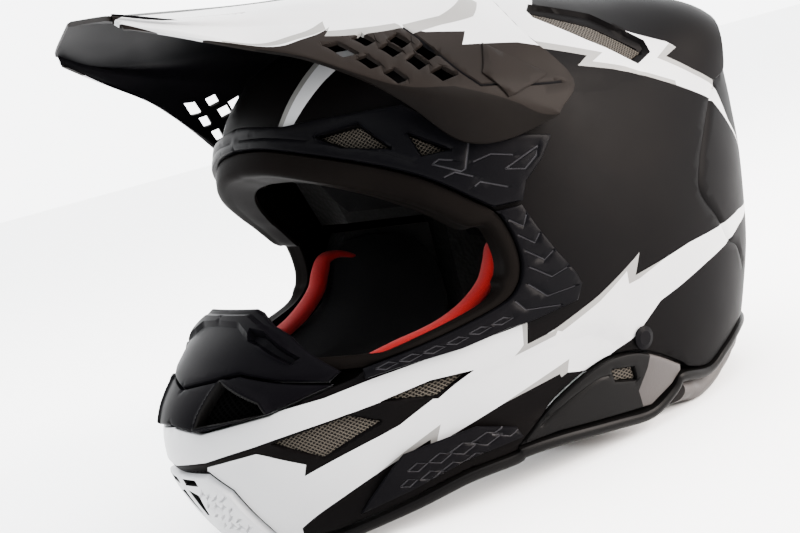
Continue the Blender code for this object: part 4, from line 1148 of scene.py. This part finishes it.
def make_nose_guard():
    guard = outline(*NOSE_TOP, *NOSE_SEAM)
    guard[0, 0] = guard[-1, 0] = FRONT_EDGE
    raised = [(past_seam(outline(*NOSE_RIDGE)), 2.2, 2.0), (outline(*NOSE_SLOT), -5.0, 1.4)]
    solid = plate(
        guard[::-1], NOSE_DEPTH, -3.0, raised=raised, spacing=FINE_NET, rim=1.6, seams=(FRONT_EDGE,)
    )
    show("nose_guard", both_halves(solid), "shell", ("nose_plastic",))


def make_intake():
    """The frame under the nose guard, with a collar round each intake and a mesh in it."""
    edge = np.concatenate((outline(*NOSE_SEAM)[::-1] - (0, 1.0), outline(*NOSE_SEAT) + (0, 1.0)))
    edge[0, 0] = edge[-1, 0] = FRONT_EDGE
    hole = outline(*INTAKE)
    solid = plate(
        edge[::-1], 2.0, -4.0, [hole], [(grown(hole, 0.9), 1)], [(grown(hole, 3.4), 1.4, 1.6)],
        spacing=FINE_NET, rim=1.4, seams=(FRONT_EDGE,),
    )
    looks = ("nose_plastic", "trim_rubber")
    show("intake_frame", both_halves(solid), "shell", looks)
    show_mesh("intake_mesh", grown(hole, -EDGE_GAP / 2), 3.0, "dark_mesh")


def make_mouthpiece():
    """The white grille in the chin, with two pairs of slots and rows of short grooves."""
    edge = grown(outline(*MOUTH, MOUTH_FOOT), -1.5 * EDGE_GAP)
    edge[0, 0] = edge[-1, 0] = FRONT_EDGE
    slots = [outline(*slot) for slot in MOUTH_SLOTS]
    dark = [(grown(slot, 0.5), 1) for slot in slots]
    ticks = []
    for row in range(5):
        for column in range(4):
            x, z = 12 + 4.6 * column, 38 - 6.0 * row - 0.6 * column
            ticks.append((outline(("front", x, z), ("front", x + 2.6, z + 1.6)), 1.2, 0.8))
    solid = plate(
        edge[::-1], 1.5, -3.0, slots, dark, grooves=ticks, spacing=FINE_NET, rim=1.6,
        seams=(FRONT_EDGE,), under=1,
    )
    looks = ("white_plastic", "trim_rubber")
    show("mouth_grille", both_halves(solid), "shell", looks)


def diamond(centre, half_along, half_up, slant):
    """A slanted diamond round a chart point, as a line that ends where it starts."""
    corners = ((-half_along, -slant), (0, half_up), (half_along, slant), (0, -half_up))
    ring = centre + np.array(corners)
    return np.concatenate((ring, ring[:1]))


def make_lower_panels():
    """The panel on each side of the chin, with two rows of diamonds that grow to the rear."""
    grooves = []
    start, end = outline(*PANEL_MARKS)
    for row, (offset, count) in enumerate(((-4.5, 4), (4.5, 5))):
        for k in range(count):
            share = (k + 0.5 * row) / 4
            size = 3.2 + 2.6 * share
            centre = start + (end - start) * share + (0, offset * (0.7 + 0.3 * share))
            grooves.append((diamond(centre, size, size * 0.62, 1.2), 0.7, 0.7))
    # Painted highlights along the edges of the diamonds.
    solid = plate(
        outline(*LOWER_PANEL)[::-1], LAYER_GAP + 1.6, LAYER_GAP, (), painted_highlights(grooves), grooves=grooves,
        spacing=FINE_NET, rim=1.0,
    )
    show_pair("lower_panel", solid, RELIEF_LOOKS)


def make_side_trims():
    """The black trim under the rear of each side, its dull cover at the rear and its vent."""
    upper = smoothed(outline(*PAINT_HEM), 5) - (0, 1.4)
    lower = outline(*TRIM_LIP[1:]) + (0, 1.0)
    edge = np.concatenate((upper, lower[::-1]))
    vent = outline(*NECK_VENT)
    cover = [(outline(*TRIM_COVER), 1)]
    grooves = [(smoothed(outline(*TRIM_GROOVE), 3), 0.9, 1.2)]
    solid = plate(
        edge[::-1], 0, -SHELL_WALL, [vent], cover, grooves=grooves, spacing=FINE_NET, rim=1.4
    )
    show_pair("side_trim", solid, ("trim_rubber", "neck_cover"))
    show_mesh("neck_vent_mesh", grown(vent, -EDGE_GAP), 2.2, "metal_mesh", 1.2)


def make_base_trim():
    """The rubber bead along the whole lower edge."""
    places = (("front", 0, 4.5), ("front", 20, 5), ("front", 40, 7), *LOWER_LIP, *TRIM_LIP, *REAR_HEM[1:])
    half = smoothed(outline(*places), 5)
    half[:, 1] -= EDGE_GAP
    loop = full_loop(half, FRONT_EDGE, pi * CHART_RADIUS)
    route, out = skin(loop), normals(loop)
    bead = (
        (0.3, -6.5), (0.3, -2.0), (0.3, 1.2), (0.9, 1.8), (2.0, 2.3), (3.2, 2.4), (TRIM_HEIGHT - 1, 1.9),
        (TRIM_HEIGHT, 1.0), (TRIM_HEIGHT + 0.8, -0.6), (TRIM_HEIGHT + 1, -3.0), (TRIM_HEIGHT, -5.4),
        (TRIM_HEIGHT - 1, -6.5),
    )
    solid = sweep(route, out, bead)
    show("base_trim", solid, "shell", ("trim_rubber",), flat_foot=True)


# ---------------------------------------------------------------- soft pieces and strap


def make_crown_pad():
    edge = outline(*CROWN_PAD_EDGE)
    edge = np.concatenate((edge, [(REAR_EDGE, POLE), (FRONT_EDGE, POLE)]))
    edge[0, 0] = FRONT_EDGE
    edge[len(CROWN_PAD_EDGE) - 1, 0] = REAR_EDGE
    outer = -SHELL_WALL - LINER_GAP - CROWN_FOAM - CROWN_PAD_GAP
    solid = plate(
        edge, outer, outer - CROWN_PAD_DEPTH, spacing=SOFT_NET, rim=1.2,
        seams=(FRONT_EDGE, REAR_EDGE), puff=22.0,
    )
    show("crown_pad", both_halves(solid), "shell", ("dark_fabric",))


def make_cheek_pads():
    """The cheek pads, with the red trim that stands up from each one's front edge."""
    outer = -SHELL_WALL - LINER_GAP - SIDE_FOAM - CHEEK_PAD_GAP
    bodies = ("cheek_left", "cheek_right")
    edge = smoothed(outline(*CHEEK_PAD_EDGE), 3, closed=True)
    solid = plate(
        edge[::-1], outer, outer - CHEEK_PAD_DEPTH, spacing=SOFT_NET, rim=1.6, puff=26.0,
        puff_share=0.7,
    )
    show_pair("cheek_pad", solid, ("dark_fabric",), bodies)
    chart = smoothed(outline(*CHEEK_TRIM_ROUTE), 6)
    sizes = smoothed(np.array(CHEEK_TRIM_SIZES)[:, None], 6)
    out = normals(chart)
    route = skin(chart) + out * (outer - 1.0 - 20.0 * (1 - sizes))
    shape = np.repeat(sizes[:, :, None], 2, 2)
    trim = sweep(route, out, oval(4.2, 6.6, 16, 2.4), closed=False, shape=shape)
    show_pair("cheek_trim", trim, ("red_fabric",), bodies)


def make_neck_roll():
    """The padded roll under the rear hem, with the soft dents of its seams."""
    half = smoothed(outline(*REAR_HEM), 10)
    half[-1, 0] = REAR_EDGE
    other = half[:-1][::-1] * (-1, 1) + (2 * REAR_EDGE, 0)
    chart = np.concatenate((half, other))
    profile = smoothed(np.array(ROLL_PROFILE), 3, closed=True)
    steps = np.arange(len(chart))
    from_seam = (steps + 5) % ROLL_SEAM_EVERY - ROLL_SEAM_EVERY / 2
    dents = 1 - 0.05 * np.exp(-((from_seam / 1.6) ** 2)) + 0.012 * np.sin(steps * 0.9)
    shape = np.repeat(dents[:, None, None], 2, 2)
    roll = sweep(skin(chart), normals(chart), profile, closed=False, shape=shape)
    show("neck_roll", roll, "shell", ("neck_cover",), flat_foot=True)


def make_strap():
    half = np.array(STRAP_ROUTE)
    other = half[:-1][::-1] * (-1, 1, 1)
    route = smoothed(np.concatenate((half, other)), 8)
    out = np.cross(np.gradient(route, axis=0), (0.0, 1.0, 0.0))
    out /= np.linalg.norm(out, axis=1, keepdims=True)
    profile = oval(STRAP_WIDTH / 2, STRAP_THICKNESS / 2, 20, 6.0)
    band = sweep(route, out, profile, closed=False)
    show("chin_strap", band, "strap", ("webbing",))


# ---------------------------------------------------------------- visor


def make_visor():
    """The visor, with its paint, a patch of painted shade, two grooves lined with painted shadow and a line
    of points along each of its folds.
    """
    length = LAST_STATION * VISOR_STRIDE
    corner = RAIL_PLACES[-1]
    edge = np.array(((0, 0), (corner, 0), (corner, length), (0, length)), float)
    lines = [np.array(line, float) for line in VISOR_GROOVES]
    # The darker patch is painted shade on the visor's lower side.
    paint = [(np.array(VISOR_PAINTED_SHADE, float), PAINTED_SHADE), (np.array(VISOR_WHITE, float), WHITE)]
    paint += [(np.array(loop, float), PALE) for loop in VISOR_PALE]
    # Thin dark lines along the two grooves: painted shadow in the grooves.
    paint += [(strip(line, 0.45), UNDERSIDE) for line in lines]
    grooves = [(line, 0.9, 0.9) for line in lines]
    folds = [np.array(((across, 0.0), (across, length))) for across in RAIL_PLACES[1:-1]]
    grooves += [(fold, 0.0, 1.5) for fold in folds]
    solid = plate(
        edge, 0.0, -VISOR_WALL, visor_holes(), paint, (), grooves, VISOR_NET, 0.9, visor_surface,
        seams=(0.0,), under=UNDERSIDE,
    )
    show("visor", both_halves(solid), "visor", VISOR_LOOKS)


def make_visor_caps():
    """A low cover over each pivot screw."""
    solid = plate(
        np.array(CAP_EDGE, float), LAYER_GAP + 0.5, LAYER_GAP - 0.3, spacing=FINE_NET, rim=0.6,
        surface=visor_surface,
    )
    show_pair("visor_cap", solid, ("visor_grey",), ("visor", "visor"))


# ---------------------------------------------------------------- kept frame nodes


KEPT_LOOKS = {
    "mouth_filter": "foam",
    "crown_foam": "foam",
    "side_foam_left": "foam",
    "side_foam_right": "foam",
    "strap_ring_outer": "steel",
    "strap_ring_inner": "steel",
    "strap_rivet_left": "black_plastic",
    "strap_rivet_right": "black_plastic",
    "visor_screw_middle": "black_plastic",
    "visor_boss_left": "black_plastic",
    "visor_boss_right": "black_plastic",
}


def dress_kept_nodes():
    for name, look in KEPT_LOOKS.items():
        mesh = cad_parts[name].data
        mesh.materials.clear()
        mesh.materials.append(LOOKS[look])


# ---------------------------------------------------------------- room, light and camera


def make_floor():
    mesh = bpy.data.meshes.new("floor")
    size = FLOOR_HALF
    corners = [(-size, -size, 0), (size, -size, 0), (size, size, 0), (-size, size, 0)]
    mesh.from_pydata(corners, [], [(0, 1, 2, 3)])
    made, _, shader = new_material("pale_floor")
    shader.inputs["Base Color"].default_value = (0.92, 0.92, 0.92, 1)
    shader.inputs["Roughness"].default_value = 0.8
    mesh.materials.append(made)
    floor = bpy.data.objects.new("floor", mesh)
    bpy.context.scene.collection.objects.link(floor)


def make_world():
    """A bright overhead and a bright backdrop behind the helmet, with a darker room in front."""
    world = bpy.data.worlds.new("studio")
    world.use_nodes = True
    tree = world.node_tree
    direction = add_node(tree, "TexCoord").outputs["Generated"]
    toward = add_node(tree, "VectorMath", {0: direction, 1: BACKDROP_SIDE}, operation="DOT_PRODUCT")
    above = add_node(tree, "SeparateXYZ", {"Vector": direction}).outputs["Z"]
    backdrop = remapped(tree, toward.outputs["Value"], ROOM_GLOW, BACKDROP_GLOW, -0.2, 0.35)
    overhead = remapped(tree, above, 0.0, BACKDROP_GLOW, 0.25, 0.75)
    strength = product(tree, backdrop, overhead, "MAXIMUM")
    tree.links.new(strength, tree.nodes["Background"].inputs["Strength"])
    tree.nodes["Background"].inputs["Color"].default_value = (0.98, 0.99, 1.0, 1)
    bpy.context.scene.world = world


def add_light(name, place, size, power, colour):
    data = bpy.data.lights.new(name, "AREA")
    data.shape = "RECTANGLE"
    data.size, data.size_y = size
    data.energy = power
    data.color = colour
    lamp = bpy.data.objects.new(name, data)
    lamp.location = place
    lamp.rotation_euler = (Vector(place) - Vector(LIGHT_AIM)).to_track_quat("Z", "Y").to_euler()
    bpy.context.scene.collection.objects.link(lamp)


def make_lights():
    for light in LIGHTS:
        add_light(*light)


def make_camera():
    """The camera, turned with the helmet into its standing pose."""
    pitch = Matrix.Rotation(-REST_PITCH, 4, "X")
    back = Vector(CAMERA_PLACE) - Vector(CAMERA_AIM)
    turn = back.to_track_quat("Z", "Y").to_matrix().to_4x4()
    roll = Matrix.Rotation(CAMERA_ROLL, 4, "Z")
    data = bpy.data.cameras.new("camera")
    data.lens = CAMERA_LENS
    data.sensor_width = 36
    data.clip_start = 0.01
    camera = bpy.data.objects.new("camera", data)
    camera.matrix_world = Matrix.Translation(Vector(standing(CAMERA_PLACE))) @ pitch @ turn @ roll
    bpy.context.scene.collection.objects.link(camera)
    bpy.context.scene.camera = camera


LOOKS = make_materials()
make_camera()
make_shell()
make_meshes()
make_brow_frame()
make_side_frames()
make_gasket()
make_nose_guard()
make_intake()
make_mouthpiece()
make_lower_panels()
make_side_trims()
make_base_trim()
make_crown_pad()
make_cheek_pads()
make_neck_roll()
make_strap()
make_visor()
make_visor_caps()
dress_kept_nodes()
make_floor()
make_world()
make_lights()
